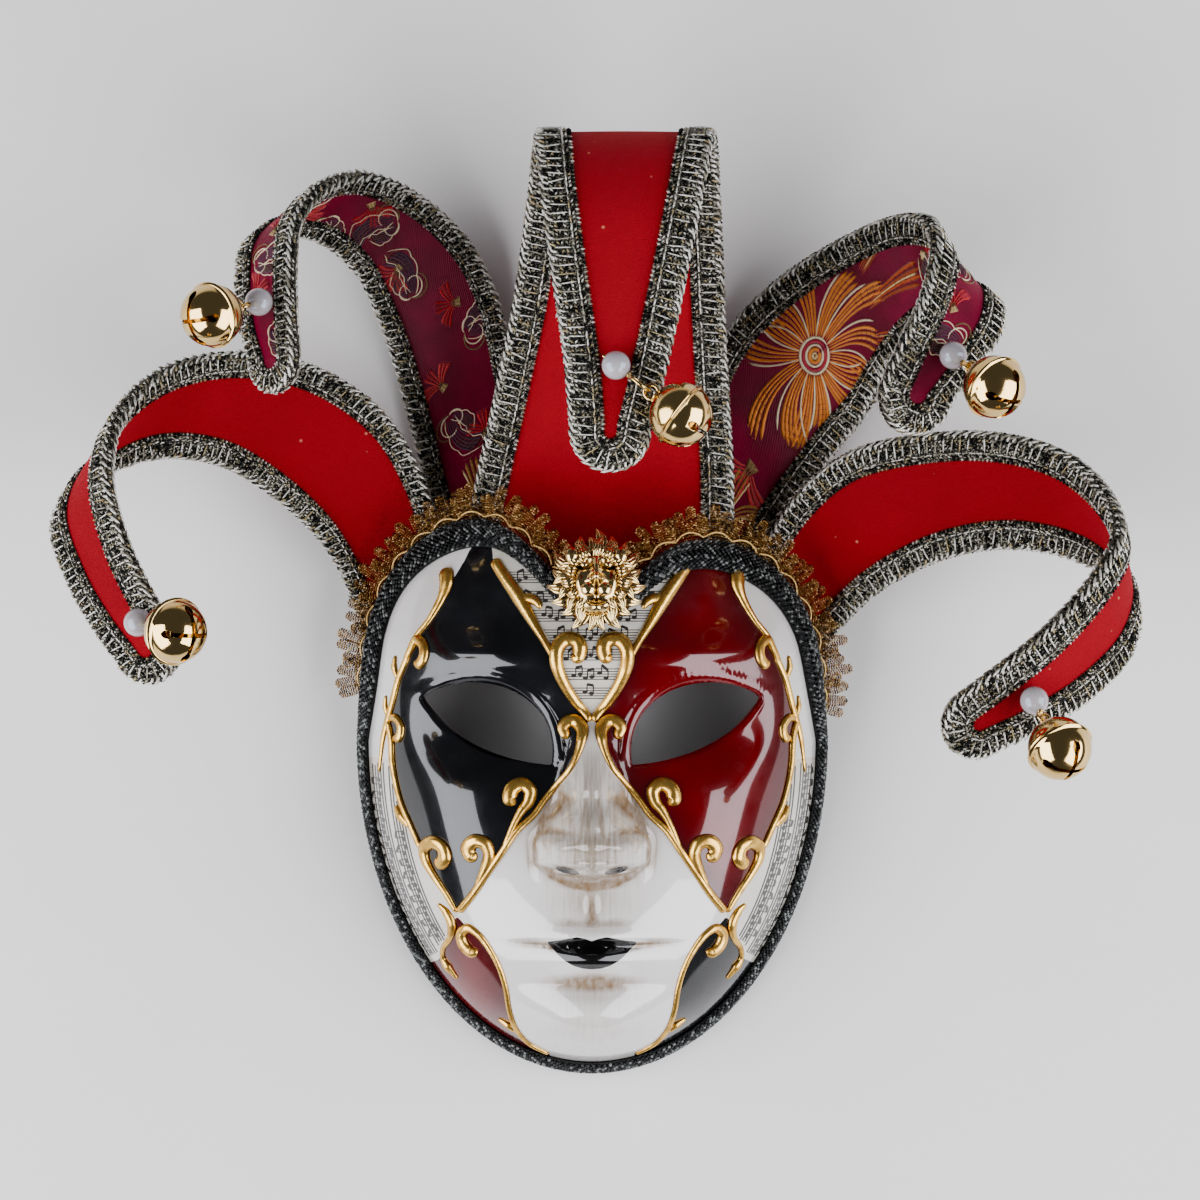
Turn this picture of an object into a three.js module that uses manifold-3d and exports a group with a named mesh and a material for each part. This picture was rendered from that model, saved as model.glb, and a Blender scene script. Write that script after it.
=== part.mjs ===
// A carnival jester mask: a hollow full face with gilded scrollwork, a braided and laced edge,
// and five wired horns of velvet and brocade that each end in a pearl and a jingle bell.
// It lies face up on its rim. Millimetres, +Z up out of the face, +Y towards the crown,
// +X to the right of someone who looks at the face. The origin is in the middle of the rim's plane.
import * as THREE from "three";
import { mergeVertices } from "three/addons/utils/BufferGeometryUtils.js";
import Module from "manifold-3d";

const wasm = await Module();
wasm.setup();

// Driving dimensions of the face
const FACE_HALF_WIDTH = 85;
const WIDEST_Y = 20;
const CHIN_DROP = 122.5;
const LOBE_RISE = 83.5;
const LOBE_LEAN = 4;
const LOBE_LEAN_REACH = 40;
const NOTCH_DEPTH = 30;
const NOTCH_WIDTH = 0.3;
const DOME_HEIGHT = 60;
const DOME_ROUNDNESS = 2.6;
const CROWN_REACH = 118;
const CROWN_FLARE = 6;
const CROWN_FLARE_REACH = 40;
const RELIEF_FADE = 0.12;
const SHELL_WALL = 2.5;
const SHELL_SPOKES = 42;
const SHELL_RINGS = 10;
const SHELL_RING_CROWDING = 1.15;
const SHELL_MIDDLE = new THREE.Vector2(0, -21);

// Driving dimensions of the trims, the horns and the bells
const GAP = 0.3;
const BRAID_GAP = 0.45;
const SUNK = 1.5;
const THINNING_TOLERANCE = 0.12;
const FACE_BRAID_WIDTH = 12;
const FACE_BRAID_THICKNESS = 2.2;
const FACE_BRAID_LIFT = 0.7;
const LACE_THICKNESS = 1;
const LACE_REACH = 8;
const LACE_SCALLOP = 3.5;
const LACE_DROP = 0.9;
const LACE_FIRST_SPOKE = 12;
const LACE_SCALLOPS = 25;
const SCROLL_HEIGHT = 1.8;
const HORN_HALF_WALL = 1.2;
const HORN_STATIONS = 12;
const BRAID_WIDTH = 11;
const BRAID_SHARE = 0.42;
const BRAID_WALL = 1.2;
const TIP_STEPS = 6;
const BELL_RADIUS = 11;
const BELL_WALL = 1;
const BELL_SIDES = 10;
const PEARL_RADIUS = 5;
const WIRE_RADIUS = 0.6;
const EYELET_RADIUS = 2.4;
const EYELET_WIRE = 0.7;
const EYELET_SUNK = 0.6;
const RING_SLACK = 0.6;
const PIN_REACH = PEARL_RADIUS + 0.8;

const clamp = THREE.MathUtils.clamp;
const vec = (x, y, z) => new THREE.Vector3(x, y, z);
const smooth = (share) => THREE.MathUtils.smoothstep(share, 0, 1);

// Relief of the face: each row is a smooth swelling, or a hollow where rise is negative.
// A paired row stands at +x and at -x.
const SWELLINGS = [
  { name: "chin", x: 0, y: -84, across: 24, along: 15, rise: 14 },
  { name: "muzzle", x: 0, y: -54, across: 30, along: 18, rise: 7 },
  { name: "cheek", x: 45, y: -10, across: 24, along: 26, rise: 7, paired: true },
  { name: "brow", x: 34, y: 51, across: 27, along: 9, rise: 6, paired: true },
  { name: "forehead", x: 0, y: 62, across: 34, along: 24, rise: 3 },
  { name: "eye_socket", x: 38, y: 26, across: 22, along: 14, rise: -8, paired: true },
  { name: "nasion", x: 0, y: 30, across: 9, along: 9, rise: -4 },
  { name: "nostril_wing", x: 14.5, y: -18, across: 6.5, along: 7.5, rise: 8, paired: true },
  { name: "upper_lip", x: 7, y: -49.5, across: 9, along: 3.2, rise: 3.4, paired: true },
  { name: "lower_lip", x: 0, y: -58.5, across: 12, along: 4.4, rise: 4.2 },
  { name: "mouth_line", x: 0, y: -53.4, across: 21, along: 1.7, rise: -3.4 },
  { name: "under_lip", x: 0, y: -68, across: 18, along: 5, rise: -4 },
  { name: "philtrum", x: 0, y: -39, across: 3, along: 7, rise: -1.6 },
];

// The nose, from the bridge down: how far it stands out and how far it reaches to each side
const NOSE_SECTIONS = [
  { y: 36, rise: 0, half: 10 },
  { y: 20, rise: 6, half: 11 },
  { y: 2, rise: 15, half: 15 },
  { y: -10, rise: 23, half: 20 },
  { y: -16, rise: 26, half: 22 },
  { y: -22, rise: 22, half: 23 },
  { y: -27, rise: 9, half: 24 },
  { y: -32, rise: 0, half: 24 },
];

// One eye opening of the right side, as two arcs between its corners; the upper arc is full towards
// the nose
const EYE = {
  inner: [14.6, 12.4],
  outer: [63, 36],
  upper_controls: [[10, 40], [44, 50]],
  lower_control: [49, 8],
  steps: 7,
};

// Gilded scrolls of the right side, in plan. A line is a smooth stroke with its half-width at the
// start and the end. A curl turns inwards from where it leaves the line.
const SCROLLS = {
  brow: {
    line: [[31, 77], [24, 65], [15, 51], [7.5, 38], [2.2, 31.5]],
    widths: [2.6, 1.6],
    curls: [
      { from: [23, 64], bearing: -130, radius: 3.4, turn: 200 },
      { from: [11, 44], bearing: 95, radius: 4.2, turn: 250 },
    ],
  },
  nose: {
    line: [[9, 27], [4.5, 22], [8.5, 9], [17, -3], [29, -18], [40, -32], [47, -41]],
    widths: [2.1, 1.6],
    curls: [
      { from: [19, -6], bearing: 50, radius: 4.4, turn: -240 },
      { from: [33, -23], bearing: 62, radius: 4.2, turn: -240 },
    ],
  },
  chin: {
    line: [[46, -47.5], [41, -53.5], [36, -61], [33, -71], [30, -82], [24, -90], [16, -96]],
    widths: [1.8, 1.5],
    curls: [{ from: [42, -52], bearing: 215, radius: 3, turn: -230 }],
  },
  temple: {
    line: [[52, 77], [57, 67], [64, 51], [69.5, 36], [73, 20], [72, 4], [67, -12], [60, -28], [51, -42]],
    widths: [2.4, 1.6],
    curls: [
      { from: [63, 53], bearing: 130, radius: 3.2, turn: 230 },
      { from: [71.5, 26], bearing: 215, radius: 2.8, turn: 200 },
      { from: [62, -24], bearing: 120, radius: 4, turn: 240 },
    ],
  },
};
const CURL_STEPS = 4;
const CURL_TIGHTENING = 0.62;
const LINE_STEPS = 8;

// Horns. Each row is one section: the strip's two edges, a and b, from the root to the tip.
const HORNS = {
  horn_mid: {
    material: "velvet",
    sections: [
      { a: [-42, 74, 41.8], b: [47, 72, 40] },
      { a: [-44, 90, 34.5], b: [50, 86, 33.1] },
      { a: [-44, 104, 26], b: [51, 98, 25.5] },
      { a: [-40, 124, 28], b: [51, 120, 27.5] },
      { a: [-34, 150, 37], b: [49, 150, 37] },
      { a: [-27, 182, 50], b: [47, 182, 50] },
      { a: [-22, 214, 68], b: [45, 214, 68] },
      { a: [-19, 234, 90], b: [43, 234, 90] },
      { a: [-18, 232, 110], b: [41, 232, 110] },
      { a: [-16, 212, 124], b: [37, 212, 124] },
      { a: [-12, 182, 130], b: [31, 182, 130] },
      { a: [-8, 154, 130], b: [25, 154, 130] },
      { a: [-6, 130, 125], b: [19, 130, 125] },
    ],
  },
  horn_low_left: {
    material: "velvet",
    sections: [
      { a: [-54, 86, 27.8], b: [-76, 48, 16] },
      { a: [-58, 100, 18.8], b: [-85, 60, 5.6] },
      { a: [-66, 122, 18], b: [-91, 77, 8.5] },
      { a: [-80, 143, 25], b: [-101, 95, 16] },
      { a: [-104, 158, 33], b: [-120, 113, 29] },
      { a: [-132, 162, 43], b: [-138, 123, 41] },
      { a: [-155, 155, 58], b: [-161, 124, 55] },
      { a: [-169, 138, 76], b: [-184, 113, 69] },
      { a: [-171, 117, 92], b: [-191, 98, 79] },
      { a: [-164, 93, 101], b: [-185, 80, 87] },
      { a: [-155, 75, 105], b: [-175, 63, 93] },
      { a: [-146, 60, 105], b: [-166, 51, 96] },
    ],
  },
  horn_low_right: {
    material: "velvet",
    sections: [
      { a: [59, 82, 26.8], b: [76, 42, 15] },
      { a: [66, 96, 19.5], b: [87, 55, 5.5] },
      { a: [78, 112, 19], b: [96, 66, 10] },
      { a: [96, 126, 27], b: [108, 77, 19] },
      { a: [122, 132, 36], b: [129, 88, 31] },
      { a: [149, 132, 46], b: [151, 92, 43] },
      { a: [170, 125, 60], b: [172, 89, 55] },
      { a: [183, 111, 77], b: [187, 81, 68] },
      { a: [186, 96, 92], b: [193, 68, 80] },
      { a: [177, 81, 104], b: [189, 53, 89] },
      { a: [158, 61, 111], b: [174, 38, 97] },
      { a: [139, 46, 113], b: [155, 27, 101] },
      { a: [128, 38, 113], b: [142, 21, 103] },
    ],
  },
  horn_top_left: {
    material: "brocade",
    sections: [
      { a: [-24, 100, 19], b: [-52, 82, 17.5] },
      { a: [-26, 132, 7.5], b: [-61, 112, 7] },
      { a: [-31, 162, 3.2], b: [-68, 140, 3] },
      { a: [-37, 187, 8], b: [-74, 162, 3.8] },
      { a: [-47, 206, 17], b: [-79, 177, 9] },
      { a: [-65, 222, 26], b: [-88, 195, 20] },
      { a: [-83, 228, 38], b: [-103, 206, 34] },
      { a: [-98, 222, 54], b: [-118, 206, 46] },
      { a: [-106, 208, 70], b: [-126, 199, 54] },
      { a: [-107, 190, 82], b: [-127, 187, 62] },
      { a: [-106, 172, 89], b: [-125, 172, 69] },
      { a: [-105, 158, 90], b: [-121, 158, 74] },
    ],
  },
  horn_top_right: {
    material: "brocade",
    sections: [
      { a: [30, 98, 19.2], b: [57, 80, 17.4] },
      { a: [37, 132, 7.8], b: [71, 101, 8.2] },
      { a: [44, 158, 3.2], b: [83, 118, 3.2] },
      { a: [55, 177, 8], b: [92, 130, 3.5] },
      { a: [74, 194, 19], b: [101, 141, 9] },
      { a: [97, 207, 30], b: [109, 156, 22] },
      { a: [113, 212, 44], b: [119, 169, 38] },
      { a: [122, 209, 60], b: [134, 177, 51] },
      { a: [123, 198, 76], b: [146, 178, 62] },
      { a: [118, 180, 88], b: [146, 170, 71] },
      { a: [110, 163, 92], b: [138, 158, 77] },
      { a: [103, 147, 92], b: [127, 144, 80] },
    ],
  },
};

// Bells. The pearl stands at seat from the middle of the strip, on the side that faces out of the
// mask, at a share along the horn and across it. The bell's middle is at offset from the pearl's.
const BELLS = [
  { name: "mid", along: 0.92, across: 0.5, side: 1, seat: 6.3, offset: [22, -17, 4] },
  { name: "low_left", along: 0.95, across: 0.2, side: -1, seat: 8.1, offset: [15, -3, 17] },
  { name: "low_right", along: 0.895, across: 0.5, side: 1, seat: 7.2, offset: [7, -16, 15] },
  { name: "top_left", along: 0.885, across: 0.3, side: -1, seat: 8.1, offset: [-15, -6, 17] },
  { name: "top_right", along: 0.915, across: 0.55, side: 1, seat: 6.8, offset: [13, -12, 15] },
];

const MATERIALS = {
  lacquer: { color: 0xe8e2da, roughness: 0.12, metalness: 0 },
  gilding: { color: 0xb98a2c, roughness: 0.32, metalness: 0.9 },
  black_braid: { color: 0x1b1d20, roughness: 0.6, metalness: 0.1 },
  silver_braid: { color: 0x8d8d86, roughness: 0.5, metalness: 0.4 },
  gold_lace: { color: 0x9a6a2a, roughness: 0.5, metalness: 0.5 },
  velvet: { color: 0x8f0710, roughness: 0.9, metalness: 0 },
  brocade: { color: 0x4d0a18, roughness: 0.5, metalness: 0.1 },
  pearl: { color: 0xe6e3e8, roughness: 0.2, metalness: 0 },
  bell_gold: { color: 0xd9a840, roughness: 0.1, metalness: 1 },
};
for (const [name, look] of Object.entries(MATERIALS)) {
  MATERIALS[name] = new THREE.MeshStandardMaterial(look);
}

// Solids

// Rows of front and back points, lofted into one closed solid. Labels number the points of a row
// from the edge inwards, so that neighbouring lofts split their quads along the same diagonals.
function loft(sections, labels, looped = false) {
  const loops = sections.map(({ front, back }) => [...front, ...back.toReversed()]);
  const marks = [...labels, ...labels.toReversed()];
  const count = marks.length;
  const triangles = [];
  const steps = looped ? loops.length : loops.length - 1;
  for (let i = 0; i < steps; i++) {
    const here = i * count;
    const next = ((i + 1) % loops.length) * count;
    for (let j = 0; j < count; j++) {
      const k = (j + 1) % count;
      if (marks[j] <= marks[k]) {
        triangles.push([here + j, here + k, next + k], [here + j, next + k, next + j]);
      } else {
        triangles.push([here + j, here + k, next + j], [here + k, next + k, next + j]);
      }
    }
  }
  if (!looped) {
    const last = (loops.length - 1) * count;
    for (let j = 0; j < labels.length - 1; j++) {
      const [p, q, r, s] = [j, j + 1, count - 2 - j, count - 1 - j];
      triangles.push([p, r, q], [p, s, r]);
      triangles.push([last + p, last + q, last + r], [last + p, last + r, last + s]);
    }
  }
  return meshOf(loops.flat(), triangles);
}

// A geometry from points and triangles, turned to face out
function meshOf(points, triangles) {
  let volume = 0;
  for (const [i, j, k] of triangles) {
    volume += points[i].dot(points[j].clone().cross(points[k]));
  }
  const facing = volume < 0 ? triangles.map(([i, j, k]) => [i, k, j]) : triangles;
  const geometry = new THREE.BufferGeometry();
  geometry.setFromPoints(points);
  geometry.setIndex(facing.flat());
  return geometry;
}

function toSolid(geometry) {
  const bare = geometry.clone();
  bare.deleteAttribute("normal");
  bare.deleteAttribute("uv");
  const merged = mergeVertices(bare, 1e-4);
  const vertProperties = new Float32Array(merged.attributes.position.array);
  const triVerts = new Uint32Array(merged.index.array);
  return new wasm.Manifold(new wasm.Mesh({ numProp: 3, vertProperties, triVerts }));
}

function toGeometry(solid) {
  const { vertProperties, triVerts } = solid.getMesh();
  const geometry = new THREE.BufferGeometry();
  geometry.setAttribute("position", new THREE.BufferAttribute(vertProperties, 3));
  geometry.setIndex(new THREE.BufferAttribute(triVerts, 1));
  return geometry;
}

function joined(geometries) {
  const [first, ...rest] = geometries.map(toSolid);
  return toGeometry(rest.reduce((whole, piece) => whole.add(piece), first));
}

function cut(body, ...tools) {
  return toGeometry(tools.reduce((whole, tool) => whole.subtract(toSolid(tool)), toSolid(body)));
}

// The same solid with fewer triangles, nowhere moved by more than the tolerance
function thinned(geometry) {
  return toGeometry(toSolid(geometry).simplify(THINNING_TOLERANCE));
}

function placed(geometry, position, direction) {
  const turn = new THREE.Quaternion().setFromUnitVectors(vec(0, 0, 1), direction.clone().normalize());
  return geometry.applyQuaternion(turn).translate(position.x, position.y, position.z);
}

// The face's surface

// The rim in plan. The angle runs from the chin at 0, over the right side, to the notch at pi.
function rimPlan(angle) {
  const x = FACE_HALF_WIDTH * Math.sin(angle);
  if (Math.cos(angle) >= 0) {
    return new THREE.Vector2(x, WIDEST_Y - CHIN_DROP * Math.cos(angle));
  }
  const share = Math.abs(x) / FACE_HALF_WIDTH;
  const rise = LOBE_RISE - LOBE_LEAN * clamp(x / LOBE_LEAN_REACH, -1, 1);
  const notch = NOTCH_DEPTH * Math.exp(-((share / NOTCH_WIDTH) ** 2));
  return new THREE.Vector2(x, WIDEST_Y + rise * Math.cbrt(1 - share ** 3) - notch);
}

function domeRadius(x, y) {
  const above = y - WIDEST_Y;
  const half = FACE_HALF_WIDTH + CROWN_FLARE * smooth(above / CROWN_FLARE_REACH);
  return Math.hypot(x / half, above / (above < 0 ? CHIN_DROP : CROWN_REACH));
}

function noseHeight(x, y) {
  const last = NOSE_SECTIONS.length - 1;
  const below = NOSE_SECTIONS.findIndex((row) => row.y <= y);
  if (below < 1 || y < NOSE_SECTIONS[last].y) {
    return 0;
  }
  const [upper, lower] = [NOSE_SECTIONS[below - 1], NOSE_SECTIONS[below]];
  const share = smooth((upper.y - y) / (upper.y - lower.y));
  const rise = THREE.MathUtils.lerp(upper.rise, lower.rise, share);
  const half = THREE.MathUtils.lerp(upper.half, lower.half, share);
  const side = Math.min(1, Math.abs(x) / half);
  return rise * 0.5 * (1 + Math.cos(Math.PI * side));
}

function swellingHeight(x, y) {
  let total = 0;
  for (const row of SWELLINGS) {
    for (const side of row.paired ? [1, -1] : [1]) {
      const reach = ((x - side * row.x) / row.across) ** 2 + ((y - row.y) / row.along) ** 2;
      total += row.rise * Math.exp(-reach);
    }
  }
  return total;
}

function faceHeight(x, y) {
  const radius = domeRadius(x, y);
  const dome = DOME_HEIGHT * Math.sqrt(Math.max(0, 1 - radius ** DOME_ROUNDNESS));
  return dome + smooth((1 - radius) / RELIEF_FADE) * (swellingHeight(x, y) + noseHeight(x, y));
}

function facePoint(x, y) {
  return vec(x, y, faceHeight(x, y));
}

function faceNormal(x, y) {
  const step = 0.2;
  const inside = Math.min(1, 0.997 / Math.max(domeRadius(x, y), 0.001));
  const [px, py] = [x * inside, WIDEST_Y + (y - WIDEST_Y) * inside];
  const slopeX = (faceHeight(px + step, py) - faceHeight(px - step, py)) / (2 * step);
  const slopeY = (faceHeight(px, py + step) - faceHeight(px, py - step)) / (2 * step);
  return vec(-slopeX, -slopeY, 1).normalize();
}

// A point of the face at a share of the way from the middle to the rim, raised along the normal
function spokePoint(angle, share, raise = 0) {
  const plan = SHELL_MIDDLE.clone().lerp(rimPlan(angle), share);
  const point = facePoint(plan.x, plan.y).addScaledVector(faceNormal(plan.x, plan.y), raise);
  point.z = Math.max(0, point.z);
  return point;
}

// Angles of the spokes, spaced evenly along the rim on each side from the chin up to the notch
function evenAngles() {
  const steps = 400;
  const angles = [];
  for (const start of [0, Math.PI]) {
    const fine = Array.from({ length: steps + 1 }, (_, i) => start + (i / steps) * Math.PI);
    const lengths = [0];
    for (let i = 1; i <= steps; i++) {
      lengths.push(lengths[i - 1] + rimPlan(fine[i]).distanceTo(rimPlan(fine[i - 1])));
    }
    for (let spoke = 0; spoke < SHELL_SPOKES / 2; spoke++) {
      const wanted = (spoke / (SHELL_SPOKES / 2)) * lengths[steps];
      angles.push(fine[lengths.findIndex((length) => length >= wanted)]);
    }
  }
  return angles;
}
const SPOKE_ANGLES = evenAngles();
const rimPoint = (spoke) => spokePoint(SPOKE_ANGLES[spoke % SHELL_SPOKES], 1);

// Rings stand closer together towards the rim, where the face turns steep
function ringShare(ring) {
  return Math.sin((ring / SHELL_RINGS) * (Math.PI / 2)) ** SHELL_RING_CROWDING;
}

// Points of the face at one depth: the middle, then ring after ring out to the rim
function faceLayer(raise) {
  const points = [spokePoint(0, 0, raise)];
  for (let ring = 1; ring <= SHELL_RINGS; ring++) {
    points.push(...SPOKE_ANGLES.map((angle) => spokePoint(angle, ringShare(ring), raise)));
  }
  return points;
}

// The closed body between a front layer and a back layer of the face
function faceBody(front, back) {
  const behind = front.length;
  const at = (ring, spoke) => (ring === 0 ? 0 : 1 + (ring - 1) * SHELL_SPOKES + (spoke % SHELL_SPOKES));
  const triangles = [];
  const addBoth = (i, j, k) => triangles.push([i, j, k], [behind + i, behind + k, behind + j]);
  for (let spoke = 0; spoke < SHELL_SPOKES; spoke++) {
    for (let ring = 0; ring < SHELL_RINGS; ring++) {
      addBoth(at(ring, spoke), at(ring + 1, spoke), at(ring + 1, spoke + 1));
      if (ring > 0) {
        addBoth(at(ring, spoke), at(ring + 1, spoke + 1), at(ring, spoke + 1));
      }
    }
    const [here, next] = [at(SHELL_RINGS, spoke), at(SHELL_RINGS, spoke + 1)];
    triangles.push([here, behind + here, behind + next], [here, behind + next, next]);
  }
  return meshOf([...front, ...back], triangles);
}

function faceShell() {
  const shell = faceBody(faceLayer(0), faceLayer(-SHELL_WALL));
  return cut(shell, eyeCutter(1), eyeCutter(-1));
}

// The face as one block, a gap larger than the shell, which shapes the underside of what lies on it
function faceForm() {
  const front = faceLayer(GAP);
  return faceBody(front, front.map((point) => vec(point.x, point.y, -DOME_HEIGHT)));
}
const FACE_FORM = faceForm();

function eyeCutter(side) {
  const shape = new THREE.Shape();
  const at = ([x, y]) => [side * x, y];
  shape.moveTo(...at(EYE.inner));
  const [inward, outward] = EYE.upper_controls;
  shape.bezierCurveTo(...at(inward), ...at(outward), ...at(EYE.outer));
  shape.quadraticCurveTo(...at(EYE.lower_control), ...at(EYE.inner));
  const through = { depth: 2 * DOME_HEIGHT, bevelEnabled: false, curveSegments: EYE.steps };
  return new THREE.ExtrudeGeometry(shape, through);
}

// Trims of the face

// A point on the facets of one spoke, at a distance in from the rim and raised off the shell
function facetPoint(angle, distance, raise) {
  let left = distance;
  for (let ring = SHELL_RINGS; ring > 1; ring--) {
    const [outer, inner] = [ringShare(ring), ringShare(ring - 1)];
    const length = spokePoint(angle, outer).distanceTo(spokePoint(angle, inner));
    if (left <= length) {
      return spokePoint(angle, outer, raise).lerp(spokePoint(angle, inner, raise), left / length);
    }
    left -= length;
  }
  throw new Error("the braid is wider than the face");
}

// How far in from the rim a ring of the shell lies on one spoke
function ringDepth(angle, ring) {
  let depth = 0;
  for (let i = SHELL_RINGS; i > ring; i--) {
    depth += spokePoint(angle, ringShare(i)).distanceTo(spokePoint(angle, ringShare(i - 1)));
  }
  return depth;
}

function faceBraid() {
  const sections = SPOKE_ANGLES.map((angle) => {
    const bend = Math.min(ringDepth(angle, SHELL_RINGS - 1), 0.8 * FACE_BRAID_WIDTH);
    const second = Math.min(ringDepth(angle, SHELL_RINGS - 2), 0.5 * (bend + FACE_BRAID_WIDTH));
    const distances = [FACE_BRAID_LIFT, bend, second, FACE_BRAID_WIDTH];
    const row = (raise) => distances.map((distance) => facetPoint(angle, distance, raise));
    return { front: row(BRAID_GAP + FACE_BRAID_THICKNESS), back: row(BRAID_GAP) };
  });
  return loft(sections, [3, 2, 1, 0], true);
}

// The lace stands out from under the braid, round the crown from one temple to the other
function goldLace() {
  const rim = new THREE.CurvePath();
  for (let spoke = LACE_FIRST_SPOKE; spoke < SHELL_SPOKES - LACE_FIRST_SPOKE; spoke++) {
    rim.add(new THREE.LineCurve3(rimPoint(spoke), rimPoint(spoke + 1)));
  }
  const steps = 2 * LACE_SCALLOPS;
  const places = rim.getSpacedPoints(steps);
  const sections = places.map((place, i) => {
    const before = places[Math.max(0, i - 1)];
    const after = places[Math.min(steps, i + 1)];
    const along = after.clone().sub(before).setZ(0).normalize();
    const out = vec(along.y, -along.x, 0);
    const notched = 1 - 0.6 * Math.exp(-(((i - steps / 2) / 3) ** 2));
    const reach = (LACE_REACH + (i % 2) * LACE_SCALLOP) * notched;
    const row = (raise) =>
      [2 * GAP, reach].map((distance) =>
        place.clone().addScaledVector(out, distance).add(vec(0, 0, raise - LACE_DROP)),
      );
    return { front: row(LACE_THICKNESS / 2), back: row(-LACE_THICKNESS / 2) };
  });
  return loft(sections, [0, 1]);
}

// Scrollwork

// A point over the facets of the face's form
const formRay = new THREE.Raycaster();
const formMesh = new THREE.Mesh(FACE_FORM, new THREE.MeshBasicMaterial());
function formPoint(x, y, raise) {
  formRay.set(vec(x, y, 2 * DOME_HEIGHT), vec(0, 0, -1));
  return formRay.intersectObject(formMesh)[0].point.addScaledVector(faceNormal(x, y), raise);
}

// A raised stroke that lies on the face along a plan curve, given as points with half-widths
function stroke(path) {
  const sections = path.map(({ plan, half }, i) => {
    const before = path[Math.max(0, i - 1)].plan;
    const after = path[Math.min(path.length - 1, i + 1)].plan;
    const along = after.clone().sub(before).normalize();
    const sideways = new THREE.Vector2(-along.y, along.x);
    const row = (width, raise) =>
      [-1, 1].map((side) => {
        const foot = plan.clone().addScaledVector(sideways, side * width);
        return formPoint(foot.x, foot.y, raise);
      });
    return { front: row(0.55 * half, SCROLL_HEIGHT), back: row(half, -SUNK) };
  });
  return loft(sections, [0, 1]);
}

function scroll(design, side) {
  const corners = design.line.map(([x, y]) => vec(side * x, y, 0));
  const curve = new THREE.CatmullRomCurve3(corners, false, "centripetal");
  const [first, last] = design.widths;
  const line = curve.getSpacedPoints(LINE_STEPS).map((p, i) => ({
    plan: new THREE.Vector2(p.x, p.y),
    half: THREE.MathUtils.lerp(first, last, i / LINE_STEPS),
  }));
  const curls = design.curls.map((curl) => curlPath(curl, side, last));
  return thinned(cut(joined([line, ...curls].map(stroke)), FACE_FORM));
}

function curlPath({ from, bearing, radius, turn }, side, half) {
  const path = [];
  const at = new THREE.Vector2(...from);
  for (let i = 0; i <= CURL_STEPS; i++) {
    const share = i / CURL_STEPS;
    path.push({ plan: new THREE.Vector2(side * at.x, at.y), half: half * (1 - 0.3 * share) });
    const heading = THREE.MathUtils.degToRad(bearing + turn * share);
    const stride = radius * Math.abs(THREE.MathUtils.degToRad(turn)) / CURL_STEPS;
    const tight = THREE.MathUtils.lerp(1, CURL_TIGHTENING, share);
    at.add(new THREE.Vector2(Math.cos(heading), Math.sin(heading)).multiplyScalar(stride * tight));
  }
  return path;
}

// Horns

// The two edges of a horn as smooth curves through its rows
function hornEdges(sections) {
  return ["a", "b"].map((edge) => {
    const points = sections.map((row) => vec(...row[edge]));
    return new THREE.CatmullRomCurve3(points, false, "centripetal");
  });
}

// Sections of a horn's strip: points across it, from edge a to edge b, each with its normal
function hornSections(sections) {
  const [edgeA, edgeB] = hornEdges(sections);
  const rows = [];
  for (let i = 0; i <= HORN_STATIONS; i++) {
    rows.push(stripRow(edgeA, edgeB, i / HORN_STATIONS));
  }
  const tipColumns = rows.at(-1).columns;
  const flat = tipColumns[0].normal.clone().add(tipColumns[3].normal).normalize();
  tipColumns.forEach((column) => column.normal.copy(flat));
  return rows;
}

function stripRow(edgeA, edgeB, along) {
  const [a, b] = [edgeA.getPoint(along), edgeB.getPoint(along)];
  const [goA, goB] = [edgeA.getTangent(along), edgeB.getTangent(along)];
  const width = a.distanceTo(b);
  const braid = Math.min(BRAID_WIDTH, BRAID_SHARE * width);
  const columns = [0, braid / width, 1 - braid / width, 1].map((across) => ({
    point: a.clone().lerp(b, across),
    normal: goA.clone().lerp(goB, across).cross(b.clone().sub(a)).normalize(),
  }));
  return { a, b, columns, braid, inward: b.clone().sub(a).normalize() };
}

// The round tip that closes a strip, as points of a half circle from edge a over to edge b
function hornTip(last) {
  const middle = last.a.clone().lerp(last.b, 0.5);
  const reach = last.a.clone().sub(middle);
  const { normal } = last.columns[0];
  const ahead = last.inward.clone().cross(normal).setLength(reach.length());
  const tip = [];
  for (let i = 1; i < TIP_STEPS; i++) {
    const turn = (i / TIP_STEPS) * Math.PI;
    const spoke = reach.clone().multiplyScalar(Math.cos(turn)).addScaledVector(ahead, Math.sin(turn));
    tip.push({ edge: middle.clone().add(spoke), inward: spoke.clone().normalize().negate(), normal });
  }
  return { tip, normal, radius: reach.length() };
}

function hornStrip(sections) {
  const rows = hornSections(sections);
  const { normal, tip } = hornTip(rows.at(-1));
  const lines = rows.map((row) => row.columns);
  for (let i = 0; i < TIP_STEPS / 2 - 1; i++) {
    const [a, b] = [tip[i].edge, tip[TIP_STEPS - 2 - i].edge];
    const shares = [0, BRAID_SHARE, 1 - BRAID_SHARE, 1];
    lines.push(shares.map((across) => ({ point: a.clone().lerp(b, across), normal })));
  }
  const row = (line, raise) => line.map((spot) => spot.point.clone().addScaledVector(spot.normal, raise));
  const walls = lines.map((line) => ({
    front: row(line, HORN_HALF_WALL),
    back: row(line, -HORN_HALF_WALL),
  }));
  return loft(walls, [0, 1, 2, 3]);
}

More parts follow.
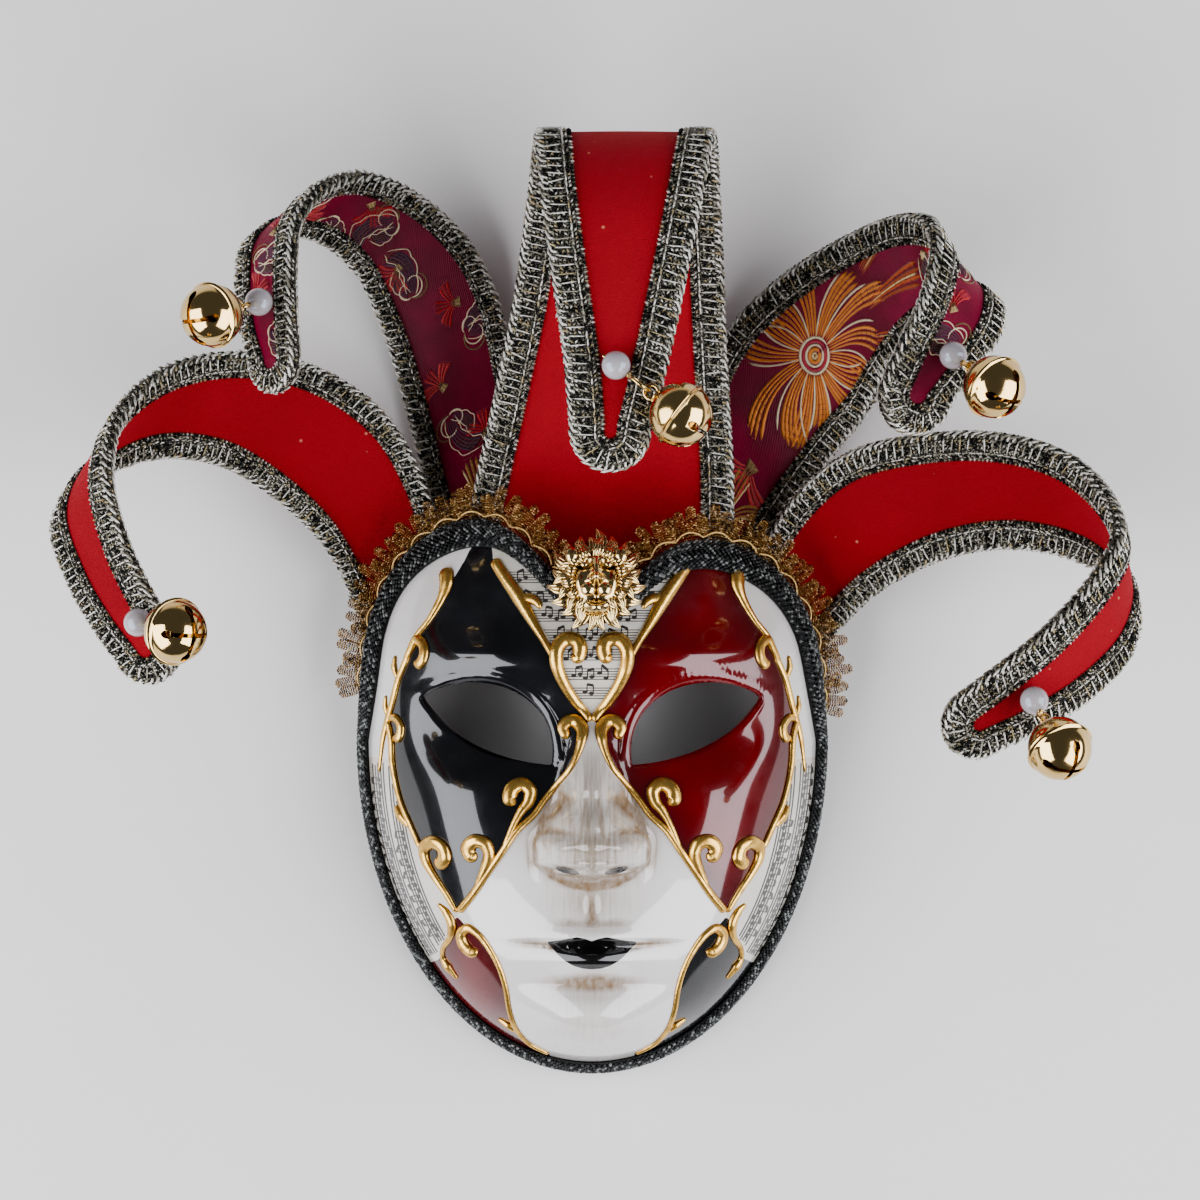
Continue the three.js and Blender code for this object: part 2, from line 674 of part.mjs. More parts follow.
// The braid folds over the strip's edge all the way round: up edge a, over the tip, down edge b
function hornBraid(sections) {
  const rows = hornSections(sections);
  const { tip, radius } = hornTip(rows.at(-1));
  const upA = rows.map(({ columns, inward }) => ({ edge: columns[0], inner: columns[1], inward }));
  const downB = rows.toReversed().map(({ columns, inward }) => ({
    edge: columns[3],
    inner: columns[2],
    inward: inward.clone().negate(),
  }));
  const reach = 2 * BRAID_SHARE * radius;
  const over = tip.map(({ edge, inward, normal }) => ({
    edge: { point: edge, normal },
    inner: { point: edge.clone().addScaledVector(inward, Math.min(BRAID_WIDTH, reach)), normal },
    inward,
  }));
  const inside = HORN_HALF_WALL + BRAID_GAP;
  const outside = inside + BRAID_WALL;
  const walls = [...upA, ...over, ...downB].map(({ edge, inner, inward }) => {
    const row = (raise, overhang) => {
      const rim = edge.point.clone().addScaledVector(inward, -overhang);
      return [
        inner.point.clone().addScaledVector(inner.normal, raise),
        rim.clone().addScaledVector(edge.normal, raise),
        rim.clone().addScaledVector(edge.normal, -raise),
        inner.point.clone().addScaledVector(inner.normal, -raise),
      ];
    };
    return { front: row(outside, 2 * GAP + BRAID_WALL), back: row(inside, 2 * GAP) };
  });
  return loft(walls, [1, 0, 0, 1]);
}

// Pearls, wires and bells

function pearl(position, direction) {
  const bore = WIRE_RADIUS + GAP;
  const profile = [];
  const steps = 4;
  const first = Math.asin(bore / PEARL_RADIUS);
  for (let i = 0; i <= steps; i++) {
    const turn = THREE.MathUtils.lerp(first, Math.PI - first, i / steps);
    profile.push(new THREE.Vector2(PEARL_RADIUS * Math.sin(turn), -PEARL_RADIUS * Math.cos(turn)));
  }
  profile.push(profile[0].clone());
  return placed(new THREE.LatheGeometry(profile, 10).rotateX(Math.PI / 2), position, direction);
}

// A pin through the pearl that ends in a ring, from the pearl's middle along +Z
function bellWire(position, direction, ringRadius) {
  const pinEnd = PIN_REACH + WIRE_RADIUS;
  const pinStart = -PEARL_RADIUS - 0.6;
  const pin = new THREE.CylinderGeometry(WIRE_RADIUS, WIRE_RADIUS, pinEnd - pinStart, 6);
  pin.rotateX(Math.PI / 2).translate(0, 0, (pinEnd + pinStart) / 2);
  const ring = new THREE.TorusGeometry(ringRadius, WIRE_RADIUS, 5, 8);
  ring.translate(0, ringRadius, 0).rotateX(Math.PI / 2).translate(0, 0, pinEnd - WIRE_RADIUS);
  return placed(joined([pin, ring]), position, direction);
}

// A hollow jingle bell with a seam, a cross of slots and an eyelet, from the eyelet's middle along +Z
function bell(position, direction) {
  const eyeletHeight = EYELET_RADIUS - EYELET_SUNK;
  const middle = BELL_RADIUS + eyeletHeight;
  const seam = 0.8;
  const rings = [52, 18].map(THREE.MathUtils.degToRad);
  const half = rings.map((lift) =>
    new THREE.Vector2(Math.cos(lift), Math.sin(lift)).multiplyScalar(BELL_RADIUS),
  );
  const profile = [
    new THREE.Vector2(0, -BELL_RADIUS),
    ...half.map((p) => new THREE.Vector2(p.x, -p.y)),
    new THREE.Vector2(BELL_RADIUS + seam, -seam),
    new THREE.Vector2(BELL_RADIUS + seam, seam),
    ...half.toReversed(),
    new THREE.Vector2(0, BELL_RADIUS),
  ];
  const outer = new THREE.LatheGeometry(profile, BELL_SIDES).rotateX(Math.PI / 2);
  const hollow = new THREE.SphereGeometry(BELL_RADIUS - BELL_WALL, 7, 4);
  const slotLength = 1.5 * BELL_RADIUS;
  const slots = [0, Math.PI / 2].map((turn) =>
    new THREE.BoxGeometry(slotLength, 1.6, BELL_RADIUS).rotateZ(turn).translate(0, 0, BELL_RADIUS),
  );
  const eyelet = new THREE.TorusGeometry(EYELET_RADIUS, EYELET_WIRE, 5, 8).rotateY(Math.PI / 2);
  const body = thinned(cut(joined([outer, eyelet.translate(0, 0, -middle)]), hollow, joined(slots)));
  return placed(body.translate(0, 0, middle), position, direction);
}

// The strip's point and normal at a share along the horn and across it
function hornSpot({ sections }, along, across) {
  const [edgeA, edgeB] = hornEdges(sections);
  const [a, b] = [edgeA.getPoint(along), edgeB.getPoint(along)];
  const go = edgeA.getTangent(along).lerp(edgeB.getTangent(along), across);
  return { point: a.clone().lerp(b, across), normal: go.cross(b.clone().sub(a)).normalize() };
}

// The lion's head

function lionHead() {
  const rays = 12;
  const outline = new THREE.Shape();
  for (let i = 0; i < 2 * rays; i++) {
    const turn = (i / rays) * Math.PI;
    const reach = i % 2 ? 12.5 : 16.5;
    const [x, y] = [reach * Math.sin(turn), 0.95 * reach * Math.cos(turn)];
    i === 0 ? outline.moveTo(x, y) : outline.lineTo(x, y);
  }
  const mane = new THREE.ExtrudeGeometry(outline, { depth: 3, bevelEnabled: false });
  const lump = (x, y, z, rx, ry, rz) =>
    new THREE.SphereGeometry(1, 6, 3).scale(rx, ry, rz).translate(x, y, z);
  const features = [
    lump(0, 0, 3, 9.5, 10, 5.5),
    lump(0, -3.5, 6.5, 6, 4.5, 4),
    lump(0, 0.5, 7.5, 2.4, 6, 2.4),
    lump(-8, 8.5, 3.5, 3, 3, 2.4),
    lump(8, 8.5, 3.5, 3, 3, 2.4),
  ];
  return joined([mane, ...features]);
}

// Assembly

const mask = new THREE.Group();

function add(name, geometry, material) {
  const mesh = new THREE.Mesh(geometry, MATERIALS[material]);
  mesh.name = name;
  mask.add(mesh);
  return mesh;
}

add("face_shell", faceShell(), "lacquer");
for (const [name, design] of Object.entries(SCROLLS)) {
  add(`scroll_${name}_right`, scroll(design, 1), "gilding");
  add(`scroll_${name}_left`, scroll(design, -1), "gilding");
}
add("face_braid", faceBraid(), "black_braid");
add("gold_lace", goldLace(), "gold_lace");
for (const [name, { material, sections }] of Object.entries(HORNS)) {
  add(name, hornStrip(sections), material);
  add(name.replace("horn", "horn_braid"), hornBraid(sections), "silver_braid");
}
for (const { name, along, across, side, seat, offset } of BELLS) {
  const { point, normal } = hornSpot(HORNS[`horn_${name}`], along, across);
  const middle = point.addScaledVector(normal, side * seat);
  const direction = vec(...offset).normalize();
  const reach = vec(...offset).length();
  const eyeletReach = reach - BELL_RADIUS - EYELET_RADIUS + EYELET_SUNK;
  const ringRadius = (eyeletReach - RING_SLACK - PIN_REACH) / 2;
  const eyelet = middle.clone().addScaledVector(direction, eyeletReach);
  add(`pearl_${name}`, pearl(middle, direction), "pearl");
  add(`bell_wire_${name}`, bellWire(middle, direction, ringRadius), "bell_gold");
  add(`bell_${name}`, bell(eyelet, direction), "bell_gold");
}
const lionSeat = facePoint(1, 75).addScaledVector(faceNormal(1, 75), FACE_BRAID_THICKNESS + 8 * GAP);
const lion = add("lion_head", lionHead(), "bell_gold");
lion.position.copy(lionSeat);
lion.rotation.x = -Math.asin(faceNormal(1, 75).y);

export default mask;
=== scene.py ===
"""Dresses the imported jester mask: a lacquered face with painted fields, music paper and gilt scrolls,
velvet and brocade horns, metal-thread braids, gold lace, a lion's head, pearls and jingle bells.

Lengths are millimetres in the part's own frame, and become metres where a mesh is made."""
import math

import bpy
import numpy as np
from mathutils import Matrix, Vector


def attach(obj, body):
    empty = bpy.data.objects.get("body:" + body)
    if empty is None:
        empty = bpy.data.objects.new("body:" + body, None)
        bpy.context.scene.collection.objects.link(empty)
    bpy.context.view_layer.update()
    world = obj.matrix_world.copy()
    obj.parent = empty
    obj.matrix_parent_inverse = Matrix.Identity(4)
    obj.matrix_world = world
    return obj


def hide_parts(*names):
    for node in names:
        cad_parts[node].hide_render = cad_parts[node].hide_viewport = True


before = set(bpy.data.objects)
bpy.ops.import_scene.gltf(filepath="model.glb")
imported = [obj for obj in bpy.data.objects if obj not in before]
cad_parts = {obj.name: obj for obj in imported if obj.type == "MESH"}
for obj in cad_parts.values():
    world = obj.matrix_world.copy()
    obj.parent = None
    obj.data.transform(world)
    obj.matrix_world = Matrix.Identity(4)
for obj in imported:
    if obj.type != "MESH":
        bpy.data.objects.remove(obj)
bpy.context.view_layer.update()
MM = 0.001

# The face's form, with the values of the part's own source
FACE_HALF_WIDTH = 85
WIDEST_Y = 20
CHIN_DROP = 122.5
LOBE_RISE = 83.5
LOBE_LEAN = 4
LOBE_LEAN_REACH = 40
NOTCH_DEPTH = 30
NOTCH_WIDTH = 0.3
DOME_HEIGHT = 60
DOME_ROUNDNESS = 2.6
CROWN_REACH = 118
CROWN_FLARE = 6
CROWN_FLARE_REACH = 40
RELIEF_FADE = 0.12
SHELL_WALL = 2.5
SHELL_MIDDLE = np.array([0, -21])
RING_CROWDING = 1.15
STEEPEST_RADIUS = 0.997
SHELL_SPOKES = 288
SHELL_RINGS = 98
SLOPE_STEP = 0.2

# x, y, reach across, reach along and rise; a swelling off the middle has a twin at -x
SWELLINGS = [
    (0, -84, 24, 15, 14),  # chin
    (0, -54, 30, 18, 7),  # muzzle
    (45, -10, 24, 26, 7),  # cheek
    (34, 51, 27, 9, 6),  # brow
    (0, 62, 34, 24, 3),  # forehead
    (38, 26, 22, 14, -8),  # eye socket
    (0, 30, 9, 9, -4),  # root of the nose
    (14.5, -18, 6.5, 7.5, 8),  # wing of the nose
    (21.5, -19.5, 2.2, 6, -1.2),  # groove round the wing
    (7, -49.5, 9, 3.2, 3.4),  # upper lip
    (0, -58.5, 12, 4.4, 4.2),  # lower lip
    (0, -53.4, 21, 1.7, -3.4),  # line of the mouth
    (0, -68, 18, 5, -4),  # hollow under the lip
    (0, -39, 3, 6, -1.6),  # groove over the lip
]
# y, rise and half-width of the nose
NOSE_SECTIONS = np.array([
    (-31.5, 0, 8), (-28.5, 6, 14), (-25.5, 15, 18.5), (-22, 22, 21.5), (-16, 26, 22),
    (-10, 23, 20), (2, 15, 15), (20, 6, 11), (36, 0, 10),
])
EYE_INNER = np.array([14.6, 12.4])
EYE_OUTER = np.array([63, 36])
EYE_UPPER_CONTROLS = np.array([(44, 50), (10, 40)])
EYE_LOWER_CONTROL = np.array([46, 14.5])
EYE_STEPS = 48
LID_RISE = 1.3
LID_WIDTH = 3.0
LID_EDGE = 1.7
LID_FADE = 9
EYE_ROLL = 0.9
EYE_ROLL_REACH = 1.6
NOSTRIL = np.array([8.8, -25.2])
NOSTRIL_HALF = np.array([4.2, 1.3])
NOSTRIL_TILT = math.radians(14)
NOSTRIL_DEPTH = 1.6

# Gilt lines of the right side in plan
BROW_LINE = [(36, 87), (32.5, 81.6), (26.5, 72.9), (21.7, 64.7), (17.5, 57.9), (13.6, 51)]
HEART_LINE = [
    (0.5, 28.2), (2.8, 31.6), (6.4, 36.1), (10.5, 42.9), (12.8, 49.7), (12.4, 54.9), (9.4, 58),
    (5.4, 57.4), (4.3, 54.2), (5.4, 51.4), (7.4, 52),
]
NOSE_LINE = [
    (8.7, 21.9), (10.5, 26), (7.1, 28.6), (3.6, 25.6), (4.1, 19.7), (7.1, 12.1), (11.7, 6.5), (17, 0),
    (21, -5.5), (27, -11.2), (32.5, -19), (37.7, -26.5), (43.2, -34.8), (48.8, -42),
]
TEMPLE_OUTER = [
    (53.5, 84), (53.3, 78), (55, 72.9), (59.6, 64.8), (64.5, 58.5), (68, 50.1), (71.2, 42.7), (73.6, 33.9),
    (75.8, 26.5), (77.2, 20.7), (78.9, 8),
]
TEMPLE_INNER = [(75.5, 28), (74, 20.7), (73.6, 13.3), (72.6, 6.9), (70.2, -2.2), (66.4, -10.5), (62.6, -18.9)]
CHEEK_CURL = [
    (49.3, -42.3), (53.8, -34.6), (58.3, -27.8), (61, -22.3), (60.9, -18), (57.8, -16.2), (54.4, -17.8),
    (53.4, -21.4), (55.2, -23.8), (57.2, -22.3),
]
CHIN_LINE = [
    (41.8, -56.6), (44.2, -57), (47.2, -54), (47.8, -50), (45.3, -48), (41.7, -50), (37.2, -55.9),
    (33.8, -62.7), (31.6, -70.8), (30.4, -79), (28, -87), (23.5, -93), (16, -97.5),
]
JAW_LINE = [
    (56.5, -39.3), (53.4, -42.3), (51.4, -46.9), (52.3, -52.2), (55, -56.7), (55.3, -60.3), (53.6, -63.6),
    (49.8, -68.5),
]
# Strokes of each gilt scroll, with the half-width at each of their points
SCROLLS = {
    "brow": [
        (BROW_LINE, [1.9, 2, 2.3, 1.7, 1.2, 1]),
        (HEART_LINE, [1.3, 1.5, 1.7, 2, 2.3, 2.4, 2.4, 2.5, 2.2, 1]),
        ([(27, 71), (23.5, 72.8), (20, 71.5), (18.5, 69)], [1.6, 1.7, 1.5, 0.8]),
    ],
    "nose": [
        (NOSE_LINE, [1.7, 2.2, 2.2, 2.2, 1.6, 1.2, 1.05, 1.05, 1.05, 1.1, 1.2, 1.2, 1.3, 1.3]),
        ([(32, -17.8), (28, -8.6), (25.4, -4), (22.8, -0.5), (22.3, 3.3), (25.3, 5.6), (28.9, 3.6),
          (29.5, 0), (27.6, -1.8)], [0.8, 1.1, 1.5, 2, 2.2, 2.3, 2.5, 2.5, 1]),
        ([(42, -32), (38.6, -24.6), (37.2, -19.4), (38.8, -15.9), (42.3, -15.1), (44.8, -17.6), (43.6, -20.6),
          (41.4, -20.2)], [0.9, 1.6, 2, 2.2, 2.3, 2.5, 2.5, 1]),
    ],
    "chin": [
        (CHIN_LINE, [1, 2.2, 2.3, 1.9, 1.6, 1.3, 1.1, 1, 1, 1, 1.1, 1, 0.8]),
        (JAW_LINE, [0.6, 1.6, 1.9, 1.1, 0.9, 1, 1.8, 0.6]),
        ([(28, -88), (31.2, -85.4), (34.8, -83.2)], [1, 1.5, 0.6]),
    ],
    "temple": [
        (TEMPLE_OUTER, [2.8, 2.5, 1.6, 1.1, 1.1, 1.2, 1.2, 1.2, 1.2, 1.1, 0.6]),
        (TEMPLE_INNER, [1.2, 1.3, 1.3, 1.2, 1.2, 1.2, 1.2]),
        (CHEEK_CURL, [1, 1.2, 1.5, 2, 2.3, 2.3, 2.4, 2.6, 2.3, 1]),
        ([(68.6, 49.5), (66.3, 54.2), (64.2, 57.6), (61.7, 55.8), (61.3, 51.8), (63.1, 48.8), (65, 49.6)],
         [1, 1.4, 1.7, 1.8, 1.9, 1.9, 0.9]),
        ([(75.2, 28.4), (72.4, 28.7), (70.2, 25.2), (71.2, 21.4), (73.2, 21.6)], [1, 1.4, 1.6, 1.7, 0.9]),
        ([(71.3, 43), (72.6, 47.4), (72.2, 51.8)], [0.8, 1.3, 0.6]),
        ([(75.2, 28.5), (76.2, 33), (76, 37)], [0.8, 1.1, 0.5]),
        ([(66.8, -11), (70, -7.6), (72.3, -3.6)], [0.9, 1.9, 1.3]),
    ],
}
STROKE_STEPS = 9

# Rows of a horn's strip, each with its point on edge a and on edge b
HORNS = {
    "mid": [
        (-42, 74, 41.8, 47, 72, 40), (-44, 90, 34.5, 50, 86, 33.1), (-44, 104, 26, 51, 98, 25.5),
        (-40, 124, 28, 51, 120, 27.5), (-34, 150, 37, 49, 150, 37), (-27, 182, 50, 47, 182, 50),
        (-22, 214, 68, 45, 214, 68), (-19, 234, 90, 43, 234, 90), (-18, 232, 110, 41, 232, 110),
        (-16, 212, 124, 37, 212, 124), (-12, 182, 130, 31, 182, 130), (-8, 154, 130, 25, 154, 130),
        (-6, 130, 125, 19, 130, 125),
    ],
    "low_left": [
        (-54, 86, 27.8, -76, 48, 16), (-58, 100, 18.8, -85, 60, 5.6), (-66, 122, 18, -91, 77, 8.5),
        (-80, 143, 25, -101, 95, 16), (-104, 158, 33, -120, 113, 29), (-132, 162, 43, -138, 123, 41),
        (-155, 155, 58, -161, 124, 55), (-169, 138, 76, -184, 113, 69), (-171, 117, 92, -191, 98, 79),
        (-164, 93, 101, -185, 80, 87), (-155, 75, 105, -175, 63, 93), (-146, 60, 105, -166, 51, 96),
    ],
    "low_right": [
        (59, 82, 26.8, 76, 42, 15), (66, 96, 19.5, 87, 55, 5.5), (78, 112, 19, 96, 66, 10),
        (96, 126, 27, 108, 77, 19), (122, 132, 36, 129, 88, 31), (149, 132, 46, 151, 92, 43),
        (170, 125, 60, 172, 89, 55), (183, 111, 77, 187, 81, 68), (186, 96, 92, 193, 68, 80),
        (177, 81, 104, 189, 53, 89), (158, 61, 111, 174, 38, 97), (139, 46, 113, 155, 27, 101),
        (128, 38, 113, 142, 21, 103),
    ],
    "top_left": [
        (-24, 100, 19, -52, 82, 17.5), (-26, 132, 7.5, -61, 112, 7), (-31, 162, 3.2, -68, 140, 3),
        (-37, 187, 8, -74, 162, 3.8), (-47, 206, 17, -79, 177, 9), (-65, 222, 26, -88, 195, 20),
        (-83, 228, 38, -103, 206, 34), (-98, 222, 54, -118, 206, 46), (-106, 208, 70, -126, 199, 54),
        (-107, 190, 82, -127, 187, 62), (-106, 172, 89, -125, 172, 69), (-105, 158, 90, -121, 158, 74),
    ],
    "top_right": [
        (30, 98, 19.2, 57, 80, 17.4), (37, 132, 7.8, 71, 101, 8.2), (44, 158, 3.2, 83, 118, 3.2),
        (55, 177, 8, 92, 130, 3.5), (74, 194, 19, 101, 141, 9), (97, 207, 30, 109, 156, 22),
        (113, 212, 44, 119, 169, 38), (122, 209, 60, 134, 177, 51), (123, 198, 76, 146, 178, 62),
        (118, 180, 88, 146, 170, 71), (110, 163, 92, 138, 158, 77), (103, 147, 92, 127, 144, 80),
    ],
}
VELVET_HORNS = ("mid", "low_left", "low_right")
HORN_HALF_WALL = 1.2
HORN_PUFF = 0.5
HORN_ROWS = 96
HORN_COLUMNS = 18
HORN_SAMPLES = 400
BORDER_ROWS = 150
BORDER_TIP_ROWS = 40
TIP_ROWS = 9
TIP_TURN = math.radians(84.6)
TIP_ROW_GAP = 1.5
TIP_BLEND = 0.06
BRAID_WIDTH = 11
BRAID_SHOWN = {"mid": 11, "low_left": 8.6, "low_right": 9.6, "top_left": 7.6, "top_right": 10}
BRAID_SHARE = 0.42
BRAID_FOLD_DEPTH = 2.5

# share along the horn, share across it, side of the strip, seat over it and offset from pearl to bell
BELLS = {
    "mid": (0.92, 0.5, 1, 6.3, (22, -17, 4)),
    "low_left": (0.95, 0.2, -1, 8.1, (15, -3, 17)),
    "low_right": (0.895, 0.5, 1, 7.2, (7, -16, 15)),
    "top_left": (0.885, 0.3, -1, 8.1, (-15, -6, 17)),
    "top_right": (0.915, 0.55, 1, 6.8, (13, -12, 15)),
}
BELL_RADIUS = 11
BELL_WALL = 0.8
SEAM_RISE = 0.8
SEAM_HALF = 0.66
SEAM_ROWS = (-0.95, -0.72, -0.6, -0.3, -0.12, 0, 0.12, 0.3, 0.6, 0.72, 0.95)
SLOT_HALF_LENGTH = 8.2
SLOT_HALF_WIDTH = 0.75
SLOT_END_RADIUS = 1.5
SLOT_ZONE = math.radians(81)
SEAM_CLEAR = 1.3
SEAM_GROOVE = 0.25
SEAM_GROOVE_HALF = 0.14
BELL_ROWS = 35
BELL_SIDES = 56
# radius, wire radius and sides of the flat ring under a bell's eyelet, and how far it is sunk
COLLAR = (1.7, 0.45, 24)
COLLAR_SUNK = 0.15
PEARL_RADIUS = 5
PEARL_ROWS = 26
PEARL_SIDES = 40
BORE_RADIUS = 0.85
WIRE_RADIUS = 0.6
WIRE_SIDES = 10
PIN_FOOT = 0.6
# radius of the coil under the ring, of its wire, and where it starts and ends over the pearl
COIL = (0.85, 0.32)
COIL_SPAN = (0.25, 1.05)
COIL_STEPS = 40
COIL_SIDES = 8
EYELET_RADIUS = 2.4
EYELET_WIRE = 0.7
EYELET_SUNK = 0.6
PIN_REACH = 5.8

# The photograph's frame: 1200 pixels square, seen from straight above
CAMERA_HEIGHT = 1400
CAMERA_X = 2.96
CAMERA_Y = 72.15
FOCAL_PIXELS = 3703
IMAGE_PIXELS = 1200
SENSOR = 36

WHITE = (1, 1, 1)
SILVERS = [(0.84, 0.82, 0.75), (0.4, 0.38, 0.31), (0.014, 0.014, 0.012), (0.5, 0.41, 0.24)]
SILVER_MIX = [0.6, 0.26, 0.06, 0.08]
SPECKLE_MIX = [0.2, 0.28, 0.4, 0.12]
BRAID_GROUND = (0.013, 0.013, 0.012)
# tints of the black cords: black, dark grey, and pale grey for the braid's pale specks and as painted glints
BLACKS_AND_GLINTS = [(0.012, 0.0125, 0.0125), (0.05, 0.053, 0.052), (0.24, 0.25, 0.24)]
BLACK_MIX = [0.4, 0.34, 0.26]
GOLDS = [(0.5, 0.29, 0.1), (0.31, 0.155, 0.045), (0.9, 0.66, 0.32), (0.08, 0.036, 0.012)]
GOLD_MIX = [0.42, 0.28, 0.18, 0.12]


# Numbers

def smooth(share):
    share = np.clip(share, 0, 1)
    return share * share * (3 - 2 * share)


def mix(first, last, share):
    return first + (last - first) * share


def full_turn(count):
    """Angles that share out a whole turn."""
    return np.linspace(0, 2 * math.pi, count, endpoint=False)


def unit(vectors):
    return vectors / np.maximum(np.linalg.norm(vectors, axis=-1, keepdims=True), 1e-9)


def run_lengths(path):
    """How far along a path each of its points lies."""
    return np.concatenate([[0], np.cumsum(np.linalg.norm(np.diff(path, axis=0), axis=1))])


def resampled(values, places, targets):
    """Columns of values, known at places, read at targets."""
    return np.stack([np.interp(targets, places, column) for column in values.T], axis=1)


def smooth_curve(rows, shares):
    """Points of a centripetal Catmull-Rom curve through rows, at shares of its count of rows."""
    rows = np.asarray(rows, float)
    padded = np.vstack([2 * rows[0] - rows[1], rows, 2 * rows[-1] - rows[-2]])
    place = np.clip(np.asarray(shares, float), 0, 1) * (len(rows) - 1)
    i = np.minimum(place.astype(int), len(rows) - 2)
    t = (place - i)[:, None]
    p0, p1, p2, p3 = (padded[i + k] for k in range(4))
    d0, d1, d2 = (
        np.sqrt(np.linalg.norm(b - a, axis=1, keepdims=True)) for a, b in ((p0, p1), (p1, p2), (p2, p3))
    )
    m1 = ((p1 - p0) / d0 - (p2 - p0) / (d0 + d1) + (p2 - p1) / d1) * d1
    m2 = ((p2 - p1) / d1 - (p3 - p1) / (d1 + d2) + (p3 - p2) / d2) * d1
    return p1 + m1 * t + (3 * (p2 - p1) - 2 * m1 - m2) * t**2 + (2 * (p1 - p2) + m1 + m2) * t**3


def outline_distance(x, y, outline):
    """How far points lie inside a closed plan outline; negative outside it."""
    points = np.stack([x, y], axis=-1)
    best = np.full(x.shape, np.inf)
    inside = np.zeros(x.shape, bool)
    for start, end in zip(outline, np.roll(outline, -1, axis=0)):
        step = end - start
        share = np.clip((points - start) @ step / max(step @ step, 1e-9), 0, 1)
        best = np.minimum(best, np.linalg.norm(points - start - share[..., None] * step, axis=-1))
        crosses = (start[1] > y) != (end[1] > y)
        slope = step[0] / (step[1] if step[1] else 1)
        inside ^= crosses & (x < start[0] + (y - start[1]) * slope)
    return np.where(inside, best, -best)


# Meshes

def linked(name, data):
    """A new object in the scene."""
    made = bpy.data.objects.new(name, data)
    bpy.context.scene.collection.objects.link(made)
    return made


class Sculpt:
    """Points, faces and tints of one piece, gathered in millimetres."""

    def __init__(self):
        self.points = []
        self.tints = []
        self.faces = []
        self.finishes = []
        self.count = 0

    def add(self, points, face_groups, tint=WHITE, finishes=None):
        """Adds points and groups of faces; finishes give each group's place in the piece's materials."""
        points = np.reshape(points, (-1, 3))
        self.finishes += finishes or [0] * len(face_groups)
        self.points.append(points)
        self.tints.append(np.broadcast_to(tint, points.shape))
        self.faces += [np.asarray(group) + self.count for group in face_groups]
        self.count += len(points)

    def add_tube(self, path, normals, half_widths, half_heights, sides, tint=WHITE, looped=False):
        """Adds a tube along a path, with an oval section that lies flat to the normals."""
        sections = tube(path, normals, half_widths, half_heights, sides, looped)
        self.add(sections, skin(len(path), sides, looped), tint)

    def piece(self, name, materials, slot, replaced=(), sharp_degrees=None, fields=None):
        """Makes the Blender object that stands for the replaced nodes."""
        mesh = bpy.data.meshes.new(name)
        faces = [face for group in self.faces for face in group.tolist()]
        points = np.vstack(self.points) * MM
        points[:, 2] = np.maximum(points[:, 2], 0)  # what touches the ground is pressed flat on it
        mesh.from_pydata(points.tolist(), [], faces)
        tints = np.vstack(self.tints)
        colours = mesh.attributes.new("tint", "FLOAT_COLOR", "POINT")
        colours.data.foreach_set("color", np.c_[tints, np.ones(len(tints))].ravel())
        for key, values in (fields or {}).items():
            mesh.attributes.new(key, "FLOAT", "POINT").data.foreach_set("value", values)
        mesh.shade_smooth()
        if sharp_degrees:
            mesh.set_sharp_from_angle(angle=math.radians(sharp_degrees))
        for material in materials:
            mesh.materials.append(material)
        indices = np.repeat(self.finishes, [len(group) for group in self.faces])
        mesh.polygons.foreach_set("material_index", indices)
        mesh.update()
        made = linked(name, mesh)
        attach(made, "root")
        if replaced:
            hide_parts(*replaced)
        return made


def skin(runs, sides, looped=False):
    """Faces over runs of closed sections with equal counts of points; an open run is capped."""
    first = np.arange(runs if looped else runs - 1)[:, None] * sides
    corner = np.arange(sides)[None]
    a = first + corner
    b = first + (corner + 1) % sides
    quads = np.stack([a, b, b + sides, a + sides], axis=-1).reshape(-1, 4) % (runs * sides)
    if looped:
        return [quads]
    cap = np.arange(sides)[None]
    return [quads, cap[:, ::-1], cap + (runs - 1) * sides]


def tube(path, normals, half_widths, half_heights, sides, looped):
    """Sections of a tube with an oval section that lies flat to the normals."""
    if looped:
        ahead = unit(np.roll(path, -1, axis=0) - np.roll(path, 1, axis=0))
    else:
        ahead = unit(np.gradient(path, axis=0))
    across = unit(np.cross(normals, ahead))
    turns = full_turn(sides)
    wide = np.multiply.outer(np.broadcast_to(half_widths, len(path)), np.cos(turns))
    high = np.multiply.outer(np.broadcast_to(half_heights, len(path)), np.sin(turns))
    return path[:, None] + across[:, None] * wide[..., None] + normals[:, None] * high[..., None]


def foot_shades(runs, sides, foot, start, reach):
    """Tints for a tube of runs sections: painted shade in the foot's colour on its underside, turning white
    from start to reach over its middle.
    """
    shade = smooth((np.sin(full_turn(sides)) - start) / reach)[None, :, None]
    return np.broadcast_to(mix(foot, np.ones(3), shade), (runs, sides, 3)).reshape(-1, 3)


def ball(sides, rings):
    """A unit ball with its poles on X, as points and face groups."""
    turns = full_turn(sides)
    lifts = np.linspace(0, math.pi, rings + 2)[1:-1, None]
    belt = np.stack(
        [np.cos(lifts) + 0 * turns, np.sin(lifts) * np.cos(turns), np.sin(lifts) * np.sin(turns)], axis=-1
    )
    points = np.vstack([[[1, 0, 0]], belt.reshape(-1, 3), [[-1, 0, 0]]])
    j = np.arange(sides)
    k = (j + 1) % sides
    r = (np.arange(rings - 1) * sides)[:, None] + 1
    quads = np.stack([r + j, r + j + sides, r + k + sides, r + k], axis=-1).reshape(-1, 4)
    last = 1 + (rings - 1) * sides
    fan = np.stack([0 * j, 1 + j, 1 + k], axis=-1)
    end_fan = np.stack([0 * j + len(points) - 1, last + k, last + j], axis=-1)
    return points, [quads, fan, end_fan]


# the sizes of stitches differ between these shares
UNEVEN = (0.88, 1.12)
UNEVEN_LEAN = 6
STITCH = ball(5, 2)
FINE_STITCH = ball(4, 2)
SPECK = ball(4, 1)
SMALL_BALL = ball(14, 9)


